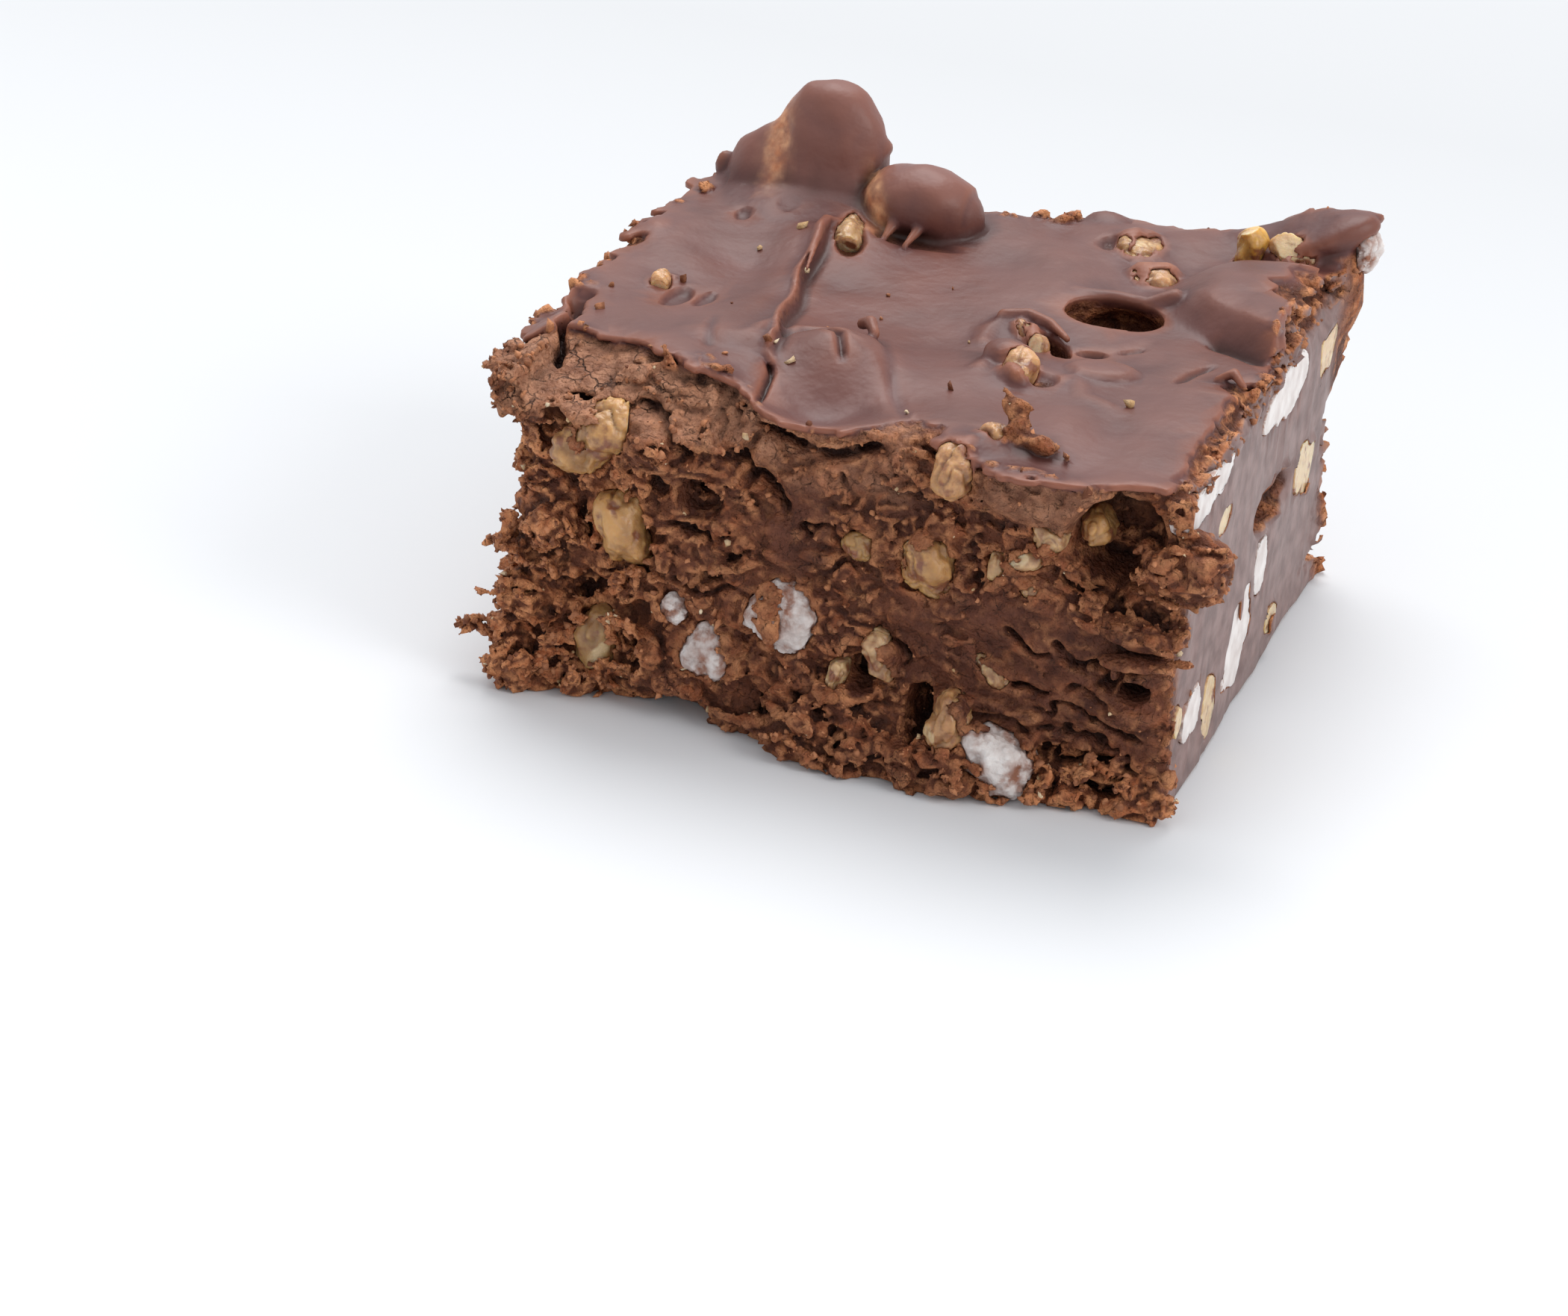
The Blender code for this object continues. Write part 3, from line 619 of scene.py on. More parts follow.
CORNER_FLAP = (
    ((36.5, 56.2, 29.9), (2.0, 1.4, 1.4), FLAT, 0.9),
    ((57.4, 54.8, 32.6), (5.4, 2.9, 1.7), (0, -28, 0), 1.2),
    ((52.6, 56.0, 31.4), (4.6, 2.0, 1.5), (0, -16, 0), 1.2),
    ((56.0, 54.4, 32.7), (5.6, 3.4, 1.0), (0, -24, 0), 1.0),
)
TOP_HOLLOWS = (
    ((43.4, 34.8, 28.2), (4.8, 3.5, 5.4), (0, 0, 4), 0.12),
    ((43.8, 36.8, 27.4), (3.8, 3.2, 2.2), FLAT, 0.3),
    ((40.1, 26.2, 29.2), (3.1, 1.3, 2.8), (0, 0, -44), 0.15),
    ((16.6, 40.8, 30.9), (1.5, 4.2, 1.3), (0, 0, 14), 0.3),
    ((39.2, 50.0, 31.3), (2.2, 1.6, 1.2), FLAT, 0.4),
    ((46.4, 46.4, 31.2), (2.2, 0.6, 0.8), FLAT, 0.3),
    ((41.9, 17.2, 30.8), (1.6, 1.7, 0.9), FLAT, 0.3),
)
# Chocolate pulled over the nut right of the middle, and round the shard's foot
TOP_LUMPS = (
    ((37.9, 20.6, 30.9), (2.2, 1.9, 1.2), (0, 0, -20), 0.7),
    ((40.4, 1.4, 30.4), (3.2, 1.5, 0.7), (0, 0, 10), 0.8),
)

# Rods of chocolate: points, radii and rounding
BROKEN_TIPS = (
    (((0.5, 3.0, 4.6), (-4.9, 1.4, 4.3)), (1.4, 0.35), 0.2),
    (((0.5, 3.0, 7.6), (-3.9, 1.6, 7.6)), (1.2, 0.3), 0.2),
)
NUT_DRIPS = (
    (((19.6, 43.6, 31.4), (19.4, 42.2, 30.9)), (0.5, 0.3), 0.4),
    (((22.0, 43.4, 31.3), (21.6, 41.2, 30.7)), (0.45, 0.25), 0.4),
)
FLAP_RIDGE = ((((56.4, 55.8, 33.4), (59.6, 56.2, 34.6), (61.9, 56.8, 35.0)), (0.9, 0.8, 0.3), 1.0),)
TOP_RIMS = (
    # The lip that overhangs the half-moon hole
    (((39.0, 38.0, 30.3), (42.4, 38.4, 30.5), (45.6, 38.0, 30.5), (47.8, 38.9, 31.2)),
     (0.4, 0.55, 0.6, 0.8), 0.8),
    # Rim of the slit and the thin curved flake's socket
    (((34.6, 29.9, 30.6), (36.8, 30.5, 30.8), (39.2, 29.2, 30.8), (41.4, 26.8, 30.6)),
     (0.4, 0.45, 0.4, 0.3), 0.9),
    # The fold's hooked end over the socket
    (((15.9, 30.5, 31.2), (15.0, 35.0, 31.6), (14.2, 39.0, 31.9), (14.0, 41.2, 31.9), (14.8, 42.0, 31.6)),
     (0.15, 0.30, 0.42, 0.5, 0.3), 0.8),
    # The nub at the mound's far end and the torn bit where folds meet
    (((24.4, 21.2, 31.0), (25.4, 20.4, 31.6), (26.4, 18.8, 31.3)), (0.5, 0.6, 0.4), 0.5),
    (((18.8, 11.9, 31.0), (19.4, 10.6, 31.2), (20.2, 9.8, 30.9)), (0.4, 0.55, 0.4), 0.3),
)
RIGHT_NICK = ((((56.0, 22.6, 31.1), (57.4, 23.0, 31.8), (58.6, 21.8, 31.2)), (0.3, 0.45, 0.3), 0.2),)
# The shard that stands up from the front edge, and its foot
SHARD = (
    (((45.6, 3.0, 30.6), (44.2, 4.0, 32.0), (42.6, 5.0, 34.2)), (1.35, 1.0, 0.25)),
    (((44.6, 3.0, 30.9), (46.4, 2.4, 31.0), (47.6, 1.9, 30.8)), (1.1, 1.0, 0.5)),
)
# Places above the top where the coat is uneven: centre, reach and share
UNEVEN_COATS = (
    ((11.5, 50.0, 36.0), (14.0, 9.0, 6.0), 1.0),
    ((58.0, 55.0, 34.0), (9.0, 5.0, 4.0), 0.5),
)


def crumble_amount(front, left, back):
    """How much each place of the grid crumbles, from 0 deep inside to 1 at the roughest faces."""
    gy, gz = Y[None, :, None], Z[None, None, :]
    amount = np.exp(np.minimum(-(gy + front[:, None, :]), 0.0) / 1.6)
    amount = amount * crumbliness(X[:, None], Z[None, :])[:, None, :]
    beside = np.exp(np.minimum(-(X[:, None, None] + left[None, :, :]), 0.0) / 1.6)
    amount = np.maximum(amount, 0.85 * beside)
    behind = 0.7 * np.exp(np.minimum(gy - DEPTH - back[:, None, :], 0.0) / 1.6)
    behind = behind * (1.0 - 0.75 * step(X, 44.0, 48.0)[:, None, None] * step(gz, 28.6, 30.2))
    amount = np.maximum(amount, behind)
    edge = step(X, 57.8, 59.0)[:, None, None] * step(gz, 27.0, 30.0) * band(gy, -3.0, 52.0, 1.0)
    return np.maximum(amount, 0.5 * edge).astype(np.float32)


def scatter_bits(field, front, left):
    """Pores of the crumbly faces and lumps along the front's foot."""
    rng = np.random.default_rng(5)

    def porous(rng):
        x, z = rng.uniform(-3.0, 14.0), rng.uniform(0.5, 24.5)
        if rng.random() > float(crumbliness(x, z)) ** 2:
            return None
        return x, -lookup(front, x, z, X[0], Z[0]) + rng.uniform(-0.2, 1.2), z

    def low_rows(rng):
        x, z = rng.uniform(24.0, 60.5), rng.triangular(0.2, 1.5, 6.0)
        return x, -lookup(front, x, z, X[0], Z[0]) + rng.uniform(-0.5, 0.3), z

    def left_side(rng):
        y, z = rng.uniform(0.0, 52.0), rng.uniform(0.4, 30.3)
        return -lookup(left, y, z, Y[0], Z[0]) + rng.uniform(-0.2, 0.8), y, z

    scatter(field, rng, 330, porous, (0.35, 1.1), True, 0.2)
    scatter(field, rng, 260, left_side, (0.35, 1.0), True, 0.2)
    scatter(field, rng, 260, low_rows, (0.4, 0.95), False, 0.25)


def fudge_field(nuts, puffs):
    """Distances of the whole fudge body and of its skin."""
    front = front_map()
    top = top_map()
    left, right, back = side_maps()
    field, f_top = plain_field(front, top, left, right, back)
    amount = crumble_amount(front, left, back)
    scatter_bits(field, front, left)
    ovals(field, FRONT_HOLLOWS, carve)
    ovals(field, BLOCK_LUMPS, add)
    rods(field, BROKEN_TIPS)
    field = roughen(field, amount)
    del amount

    skin = skin_field(f_top, right)
    coated(skin)
    top_features(field, skin)

    # The fudge climbs unevenly round the nuts and marshmallows, but not on the cut side
    snug = (nuts + 0.26 + 0.26 * noise3(1.5, 62)).astype(np.float32)
    fray = 0.50 * noise3(1.3, 63) + 0.34 * noise3(0.6, 64) - 0.7 * step(noise3(2.0, 86), 0.35, 0.8)
    fray = fray * (1.0 - step(puffs, 0.4, 1.2)) * (1.0 - step(X, 55.0, 57.5))[:, None, None]
    snug = np.minimum(snug, puffs + 0.50 + fray).astype(np.float32)
    field = -smooth_max(-field, -snug, 0.9)
    room = np.minimum(nuts, puffs) - GAP
    field = np.maximum(field, -room)
    skin = np.maximum(-smooth_max(-skin, -(snug + 0.1), 1.3) + 3.0 * (f_top < -1.2), -room)
    whole = -smooth_max(-field, -skin, 0.12)
    base = -Z[None, None, :] + 0.05 + 0.06 * noise2(SHAPE[:2], (2.2, 2.2), 61)[:, :, None]
    return smooth_max(whole, base.astype(np.float32), 0.35), skin


def coated(skin):
    """Coated nuts at the back left and the corner flap at the back right."""
    ovals(skin, COATED_NUTS, add)
    ovals(skin, UNDER_NUT, carve)
    rods(skin, NUT_DRIPS)
    ovals(skin, CORNER_FLAP, add)
    rods(skin, FLAP_RIDGE)
    uneven = 0.16 * noise3(3.4, 91) + 0.09 * noise3(1.3, 92)
    for centre, reach, share in UNEVEN_COATS:
        cut = window(centre, reach)[0]
        skin[cut] += share * uneven[cut] * step(Z[cut[2]], 30.8, 33.0)[None, None, :]


def top_features(field, skin):
    """Hollows, sockets, folds and shards of the poured top."""
    for layer in (field, skin):
        ovals(layer, TOP_HOLLOWS, carve)
    rods(skin, TOP_RIMS)
    ragged = 0.30 * noise3(0.9, 93) + 0.16 * noise3(0.45, 94)
    for points, radii in SHARD:
        cut, dist = rod(points, radii)
        add(field, (cut, dist + ragged[cut]), 0.12)
    ovals(skin, TOP_LUMPS, add)
    rods(skin, RIGHT_NICK)


def blur(array, size):
    """Mean of an array over a cube of voxels."""
    out = array
    for axis in range(3):
        pad = [(0, 0)] * 3
        pad[axis] = (size + 1, size)
        total = np.cumsum(np.pad(out, pad, mode="edge"), axis=axis, dtype=np.float32)
        count = 2 * size + 1
        ahead = [slice(None)] * 3
        behind = [slice(None)] * 3
        ahead[axis] = slice(count, None)
        behind[axis] = slice(0, -count)
        out = (total[tuple(ahead)] - total[tuple(behind)]) / count
    return out


def sample(array, points):
    """Values of a grid array at points in millimetres."""
    p = (points - GRID_LOW) / VOXEL
    p = np.clip(p, 0.0, np.array(SHAPE) - 1.001)
    i = np.floor(p).astype(int)
    out = np.zeros(len(points), np.float32)
    for corner, share in corners(p - i):
        out += share * array[tuple((i + corner).T)]
    return out


def new_object(name, mesh):
    made = bpy.data.objects.new(name, mesh)
    bpy.context.scene.collection.objects.link(made)
    return made


def settle(piece):
    """Gives a piece its mesh with the modifiers applied."""
    bpy.context.view_layer.update()
    graph = bpy.context.evaluated_depsgraph_get()
    mesh = bpy.data.meshes.new_from_object(piece.evaluated_get(graph))
    piece.modifiers.clear()
    old = piece.data
    piece.data = mesh
    bpy.data.meshes.remove(old)


def read(data, key, size=1, kind=np.float32):
    """Numbers of a mesh's data as an array, in rows of the given size."""
    out = np.empty(len(data) * size, kind)
    data.foreach_get(key, out)
    return out.reshape(-1, size) if size > 1 else out


def vertices(mesh):
    """A mesh's points in millimetres in block axes."""
    return read(mesh.vertices, "co", 3) / MM + ORIGIN


def normals(mesh):
    return read(mesh.vertex_normals, "vector", 3)


def set_attribute(mesh, name, values):
    """Stores one number a point for the material."""
    layer = mesh.attributes.new(name, "FLOAT", "POINT")
    layer.data.foreach_set("value", np.ascontiguousarray(values, np.float32))


def keep_largest(points, faces):
    """Drops the small loose bodies of a polygon mesh."""
    parent = np.arange(len(points))
    edges = np.concatenate([faces[:, [0, 1]], faces[:, [1, 2]], faces[:, [2, 3]]])
    while True:
        low = np.minimum(parent[edges[:, 0]], parent[edges[:, 1]])
        fresh = parent.copy()
        np.minimum.at(fresh, edges[:, 0], low)
        np.minimum.at(fresh, edges[:, 1], low)
        fresh = fresh[fresh]
        if np.array_equal(fresh, parent):
            break
        parent = fresh
    roots, sizes = np.unique(parent, return_counts=True)
    keep = parent == roots[np.argmax(sizes)]
    number = np.cumsum(keep) - 1
    faces = faces[keep[faces[:, 0]]]
    return points[keep], number[faces]


def new_mesh(name, points, faces):
    """A mesh from points in millimetres in block axes and faces of one kind."""
    sides = faces.shape[1]
    mesh = bpy.data.meshes.new(name)
    mesh.vertices.add(len(points))
    mesh.vertices.foreach_set("co", ((points - ORIGIN) * MM).astype(np.float32).ravel())
    mesh.loops.add(faces.size)
    mesh.loops.foreach_set("vertex_index", faces.astype(np.int32).ravel())
    mesh.polygons.add(len(faces))
    mesh.polygons.foreach_set("loop_start", np.arange(0, faces.size, sides, dtype=np.int32))
    mesh.update(calc_edges=True)
    return mesh


def body_mesh(field):
    """Turns the field into the fudge's mesh, with fewer triangles where the photograph doesn't look."""
    grid = openvdb.FloatGrid(3.0 * VOXEL)
    grid.copyFromArray(np.clip(field, -3.0 * VOXEL, 3.0 * VOXEL), tolerance=0.0)
    points, _, quads = grid.convertToPolygons(0.0, 0.0)
    points, quads = keep_largest(points, quads[:, ::-1].astype(np.int64))
    mesh = new_mesh("fudge_body", points * VOXEL + GRID_LOW, quads)
    body = new_object("fudge_body", mesh)
    x, y, z = vertices(mesh).T
    back = (y > 50.5) & (z < 29.5)
    left = (x < 1.0) & (y > 16.0) & (z < 29.0)
    unseen = back | left | (z < 0.4)
    seen_share = 1.0 - unseen.mean()
    thin(body, seen_share + UNSEEN_TRIANGLES / (2.0 * len(quads)), np.nonzero(unseen)[0])
    thin(body, BODY_TRIANGLES / len(body.data.polygons))
    return body


def thin(body, ratio, only=None):
    """Reduces a piece's triangles to a share, at first perhaps only at some points."""
    fewer = body.modifiers.new("fewer", "DECIMATE")
    fewer.ratio = ratio
    fewer.use_collapse_triangulate = True
    if only is not None:
        group = body.vertex_groups.new(name="unseen")
        group.add(only.tolist(), 1.0, "REPLACE")
        fewer.vertex_group = group.name
        fewer.vertex_group_factor = 1000.0
    settle(body)
    body.vertex_groups.clear()


def field_normals(mesh, field):
    """Shades a mesh by the field's own slope, which is finer than its triangles."""
    p = vertices(mesh)
    slope = np.zeros_like(p)
    for axis in range(3):
        way = np.zeros(3)
        way[axis] = 0.9 * VOXEL
        slope[:, axis] = sample(field, p + way) - sample(field, p - way)
    length = np.linalg.norm(slope, axis=1)
    plain = normals(mesh)
    good = length > 0.05 * VOXEL
    slope = np.where(good[:, None], slope / np.maximum(length, 1e-6)[:, None], plain)
    slope = np.where(((slope * plain).sum(1) > 0.5)[:, None], slope, plain)
    mesh.normals_split_custom_set_from_vertices(slope.tolist())


def shade_body(body, field, skin):
    """Stores what the material needs: edges, which it paints lighter partly as painted highlight, hollows,
    which it paints dark as painted shade, skin, the back nuts' upper coat, which it paints paler as painted
    light, dry, smeared and bare places.
    """
    mesh = body.data
    mesh.shade_smooth()
    p = vertices(mesh)
    x, y, z = p.T
    filled = 1.0 / (1.0 + np.exp(np.clip(field / (0.6 * VOXEL), -20.0, 20.0)))
    small = sample(blur(filled, 2), p)
    large = sample(blur(filled, 6), p)
    # Convex edges, which the material paints lighter: partly the broken crumbs' own orange, partly painted
    # highlight
    set_attribute(mesh, "edge", np.clip((0.50 - small) * 6.0, 0.0, 1.0))
    # Painted shade: hollows, where the neighbourhood is mostly fudge, are marked for the material to paint
    # dark
    set_attribute(mesh, "hollow_shade", np.clip((large - 0.52) * 4.5, 0.0, 1.0))
    own = 1.0 - step(sample(skin, p), 0.05, 0.22)
    set_attribute(mesh, "skin", own)
    # Painted light: the upper coat on the nuts at the back is painted paler, for the light that falls on it
    # from the front
    set_attribute(mesh, "thin", own * step(z, 31.5, 34.5) * step(y, 42.0, 45.0) * (x < 30.0))
    # The upper part of the front is dry and pale
    forward = step(-y, -9.5, -8.0)
    dry = (1.0 - step(x, 22.0, 26.0)) * step(z, 25.6, 27.6) * forward
    dry = dry + 0.55 * band(x, 22.0, 36.0, 2.0) * step(z, 23.0, 26.0) * forward
    dry = dry + 0.6 * band(x, 42.0, 55.0, 2.0) * step(z, 24.5, 26.5) * forward
    set_attribute(mesh, "dry", np.clip(dry, 0.0, 1.0) * (1.0 - step(z, 30.4, 31.2)))
    # Smooth dark smears lack the orange tint of the broken crumbs
    smear = np.where(y < 9.0, 1.0 - crumbliness(x, z), 0.1)
    set_attribute(mesh, "smear", np.clip(smear * 1.2, 0.0, 1.0))
    _, _, tag, _ = grains(p, 1.45, 2)
    set_attribute(mesh, "tag", tag)
    # Nut shows through the coat in two streaks
    near = np.exp(-(((x - 6.6) / 1.0) ** 2 + ((z - 36.0) / 2.6) ** 2))
    bare = near * (y < 51.5) * (z > 32.0)
    near = np.exp(-(((x - 16.9 - 0.4 * (34.0 - z)) / 1.1) ** 2 + ((z - 33.0) / 1.6) ** 2))
    bare = bare + near * (y < 49.0) * (y > 42.0)
    set_attribute(mesh, "bare", np.clip(2.2 * bare, 0.0, 1.0))


def clean_copy(node, name):
    """A copy of a solid's mesh with its points joined."""
    shape = bmesh.new()
    shape.from_mesh(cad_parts[node].data)
    bmesh.ops.remove_doubles(shape, verts=shape.verts, dist=1e-6)
    mesh = bpy.data.meshes.new(name)
    shape.to_mesh(mesh)
    shape.free()
    return new_object(name, mesh)


# Tint of each nut: linear colour of its flesh
OLIVE = (0.42, 0.255, 0.10)
GOLD = (0.60, 0.335, 0.125)
CREAM = (0.70, 0.475, 0.26)
YELLOW = (0.78, 0.44, 0.08)
TAN = (0.68, 0.38, 0.18)
# Nut 3's darker olive is partly its own tone, partly painted shade for its recessed place low in the front
TINTS = {
    1: GOLD, 2: GOLD, 3: OLIVE, 4: GOLD, 5: OLIVE, 6: TAN, 7: CREAM, 8: GOLD, 9: CREAM, 10: CREAM,
    11: CREAM, 12: CREAM, 13: TAN, 14: CREAM, 15: CREAM, 16: CREAM, 17: TAN, 18: GOLD, 19: TAN, 20: TAN,
    21: TAN, 22: TAN, 23: YELLOW, 24: CREAM, 25: TAN, 26: CREAM, 27: CREAM, 28: GOLD, 29: CREAM,
    30: CREAM, 31: TAN,
}

# Pieces from this place in the list of names on lie on the top or the sides
TOP_NUMBERS = 28

# Flat facets of a nut: how far out from the middle each is cut, as a share of the nut
FRONT_FACETS = (0.84,)
TOP_FACETS = (0.64, 0.70, 0.76)

# A solid with fewer faces than this has sharp corners, so it is rounded and swelled more
FEW_FACES = 40

# Pieces that are smaller or flatter than their solid: share of the size and of the height
TRIMMED = {
    "marshmallow_05": (1.0, 0.68), "marshmallow_06": (1.0, 0.62), "marshmallow_10": (0.72, 1.0),
    "walnut_16": (0.84, 0.90), "walnut_18": (1.0, 0.68), "walnut_19": (1.0, 0.70),
}


def nut_shape(mesh, p, n, middle, scale, number, index):
    """Lobes, creases and facets of a walnut piece: its new points and how flat each is."""
    rng = np.random.default_rng(100 + number)
    on_top = number >= TOP_NUMBERS
    lobes = noise_at(p, 0.50 * scale, number)
    creases = noise_at(p * (1.0, 1.0, 0.6), 0.34 * scale, number + 40)
    dip = np.exp(-((creases / 0.20) ** 2))
    deep = 0.035 if on_top else 0.060
    move = 0.075 * scale * lobes - deep * scale * dip + 0.015 * scale * noise_at(p, 0.4, number + 60)
    p = p + n * move[:, None]
    facet = np.zeros(len(p))
    for share in TOP_FACETS if on_top else FRONT_FACETS:
        way = rng.standard_normal(3)
        way /= np.linalg.norm(way)
        height = (p - middle) @ way
        over = np.maximum(height - share * height.max(), 0.0)
        p = p - 0.92 * over[:, None] * way
        facet = np.maximum(facet, step(over, 0.0, 0.15))
    set_attribute(mesh, "crease", dip)
    tint = np.ones((len(p), 4), np.float32)
    tint[:, :3] = TINTS.get(index, GOLD)
    layer = mesh.attributes.new("tint", "FLOAT_COLOR", "POINT")
    layer.data.foreach_set("color", tint.ravel())
    return p, facet


def marshmallow_shape(mesh, p, n, number):
    """The torn and fuzzy surface of a marshmallow piece: its new points."""
    torn = noise_at(p, 2.2, number) + 0.5 * noise_at(p, 0.9, number + 20)
    fuzz = np.abs(noise_at(p, 0.40, number + 30))
    set_attribute(mesh, "crease", np.clip(0.5 - 0.6 * torn, 0.0, 1.0))
    return p + n * (0.34 * torn + 0.16 * fuzz)[:, None]


def inclusion(node, number, kind):
    """The fine piece that stands for one nut or marshmallow."""
    piece = clean_copy(node, node + "_fine")
    rounder = piece.modifiers.new("rounder", "SUBSURF")
    few = len(piece.data.polygons) < FEW_FACES
    rounder.levels = rounder.render_levels = 4 if few else 3
    settle(piece)
    mesh = piece.data
    p, n = vertices(mesh), normals(mesh)
    middle = (p.max(0) + p.min(0)) / 2.0
    size = p.max(0) - p.min(0)
    scale = float(np.cbrt(size.prod()))
    p = middle + (p - middle) * (1.30 if few else 1.17)
    share, flat = TRIMMED.get(node, (1.0, 1.0))
    p = middle + share * (p - middle)
    low = p[:, 2].min()
    p[:, 2] = low + flat * (p[:, 2] - low)
    if kind == "walnut":
        p, facet = nut_shape(mesh, p, n, middle, scale, number, int(node.split("_")[1]))
    else:
        p, facet = marshmallow_shape(mesh, p, n, number), np.zeros(len(p))
    if 57.0 < middle[0] < 60.5:
        # The knife left it flush with the right side
        limit = WIDTH + GAP + right_form(p[:, 1], p[:, 2])
        p[:, 0] += 0.6 * np.maximum(p[:, 0] - middle[0], 0.0)
        facet = np.maximum(facet, step(p[:, 0] - limit, -0.02, 0.05))
        p[:, 0] = np.minimum(p[:, 0], limit)
    set_attribute(mesh, "facet", facet)
    mesh.vertices.foreach_set("co", ((p - ORIGIN) * MM).astype(np.float32).ravel())
    mesh.update()
    mesh.shade_smooth()
    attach(piece, "root")
    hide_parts(node)
    return piece


# Loose crumbs on the top: place and half size
TOP_CRUMBS = (
    (1.5, 20.5, 0.40), (2.3, 14.0, 0.32), (6.3, 25.2, 0.36), (16.0, 8.5, 0.22), (35.8, 12.3, 0.36),
    (21.2, 21.5, 0.16), (22.8, 30.5, 0.20), (24.2, 26.5, 0.18), (51.0, 14.9, 0.30), (27.8, 36.2, 0.15),
    (19.3, 11.2, 0.45), (3.0, 8.9, 0.40), (0.2, 7.4, 0.42), (12.4, 21.5, 0.14),
)
TOP_NUT_CRUMBS = (
    (10.4, 34.5, 0.32), (11.6, 39.0, 0.34), (15.1, 32.5, 0.30), (19.6, 12.0, 0.32), (21.5, 10.2, 0.42),
    (34.0, 6.0, 0.24), (50.8, 15.5, 0.38), (32.8, 24.3, 0.16),
)


def crumb_mesh(name, centres, sizes, seed, finish, slot):
    """Uneven crumbs at the given centres, as one mesh."""
    rng = np.random.default_rng(seed)
    ball = bmesh.new()
    bmesh.ops.create_icosphere(ball, subdivisions=1, radius=1.0)
    unit = np.array([v.co[:] for v in ball.verts])
    tris = np.array([[v.index for v in f.verts] for f in ball.faces])
    ball.free()
    count = len(centres)
    half = sizes[:, None] * rng.uniform(0.55, 1.35, (count, 3))
    turns = np.array([turned(t) for t in rng.uniform(0, 360, (count, 3))])
    places = (unit[None] * 1.2 + 3.7 * np.arange(count)[:, None, None]).reshape(-1, 3)
    wobble = 1.0 + 0.5 * noise_at(places, 1.0, seed).reshape(count, -1, 1)
    wobble = wobble * rng.uniform(0.62, 1.3, (count, len(unit), 1))
    local = np.einsum("cij,cvj->cvi", turns, unit[None] * wobble * half[:, None, :])
    points = (local + centres[:, None, :]).reshape(-1, 3)
    faces = (tris[None] + len(unit) * np.arange(count)[:, None, None]).reshape(-1, 3)
    mesh = new_mesh(name, points, faces)
    set_attribute(mesh, "tag", np.repeat(rng.random(count), len(unit)))
    mesh.materials.append(finish)
    piece = new_object(name, mesh)
    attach(piece, "root")
    return piece


def stuck_crumbs(name, host, count, radii, chooser, seed, finish, slot):
    """Crumbs that cling to a piece where a function of place and facing says."""
    rng = np.random.default_rng(seed)
    p, n = vertices(host.data), normals(host.data)
    weights = chooser(p, n)
    picks = rng.choice(len(p), count, p=weights / weights.sum())
    sizes = radii[0] + (radii[1] - radii[0]) * rng.random(count) ** 2.5
    centres = p[picks] + n[picks] * sizes[:, None] * rng.uniform(0.0, 0.8, (count, 1))
    return crumb_mesh(name, centres, sizes, seed, finish, slot)


class Paint:
    """A new material with short ways to build its shader from nodes."""

    def __init__(self, name, roughness, specular=0.5):
        self.made = bpy.data.materials.new(name)
        self.made.use_nodes = True
        self.tree = self.made.node_tree
        self.inputs = self.tree.nodes["Principled BSDF"].inputs
        self.inputs["Roughness"].default_value = roughness
        self.inputs["Specular IOR Level"].default_value = specular
        self.place = self.node("ShaderNodeTexCoord").outputs["Object"]

    def node(self, kind, inputs=None, **settings):
        """Adds a shader node, sets its values and links what is given as a socket."""
        made = self.tree.nodes.new(kind)
        for name, value in settings.items():
            setattr(made, name, value)
        for key, value in (inputs or {}).items():
            self.put(value, made.inputs[key])
        return made

    def put(self, value, socket):
        """Links a socket to another, or gives it a fixed value."""
        if isinstance(value, bpy.types.NodeSocket):
            self.tree.links.new(value, socket)
        else:
            socket.default_value = value

    def fact(self, name):
        """A number stored on the mesh."""
        return self.node("ShaderNodeAttribute", attribute_name=name).outputs["Fac"]

    def maths(self, how, a, b):
        return self.node("ShaderNodeMath", {0: a, 1: b}, operation=how).outputs[0]

    def times(self, a, b):
        return self.maths("MULTIPLY", a, b)

    def spread(self, value, low, high, to_low=0.0, to_high=1.0):
        """Maps what lies between two numbers onto two others."""
        limits = {"Value": value, "From Min": low, "From Max": high, "To Min": to_low, "To Max": to_high}
        return self.node("ShaderNodeMapRange", limits).outputs["Result"]

    def cloud(self, size, detail=3.0, low=0.0, high=1.0):
        """Noise of a given size in millimetres, spread between two limits."""
        inputs = {"Vector": self.place, "Scale": 1.0 / (size * MM), "Detail": detail}
        noise = self.node("ShaderNodeTexNoise", inputs).outputs["Fac"]
        return self.spread(noise, 0.35, 0.65, low, high)

    def blend(self, factor, a, b):
        """Mixes two colours by a factor."""
        return self.node("ShaderNodeMix", {0: factor, 6: a, 7: b}, data_type="RGBA").outputs[2]

    def wax(self, weight, radius, scale):
        """Lets light into the surface."""
        self.inputs["Subsurface Weight"].default_value = weight
        self.inputs["Subsurface Radius"].default_value = radius
        self.inputs["Subsurface Scale"].default_value = scale

    def bump(self, heights):
        """Chains bumps of noise sockets, each with its height in millimetres."""
        normal = None
        for socket, height in heights:
            inputs = {"Height": socket, "Strength": 1.0, "Distance": height * MM}
            if normal is not None:
                inputs["Normal"] = normal
            normal = self.node("ShaderNodeBump", inputs).outputs["Normal"]
        self.put(normal, self.inputs["Normal"])


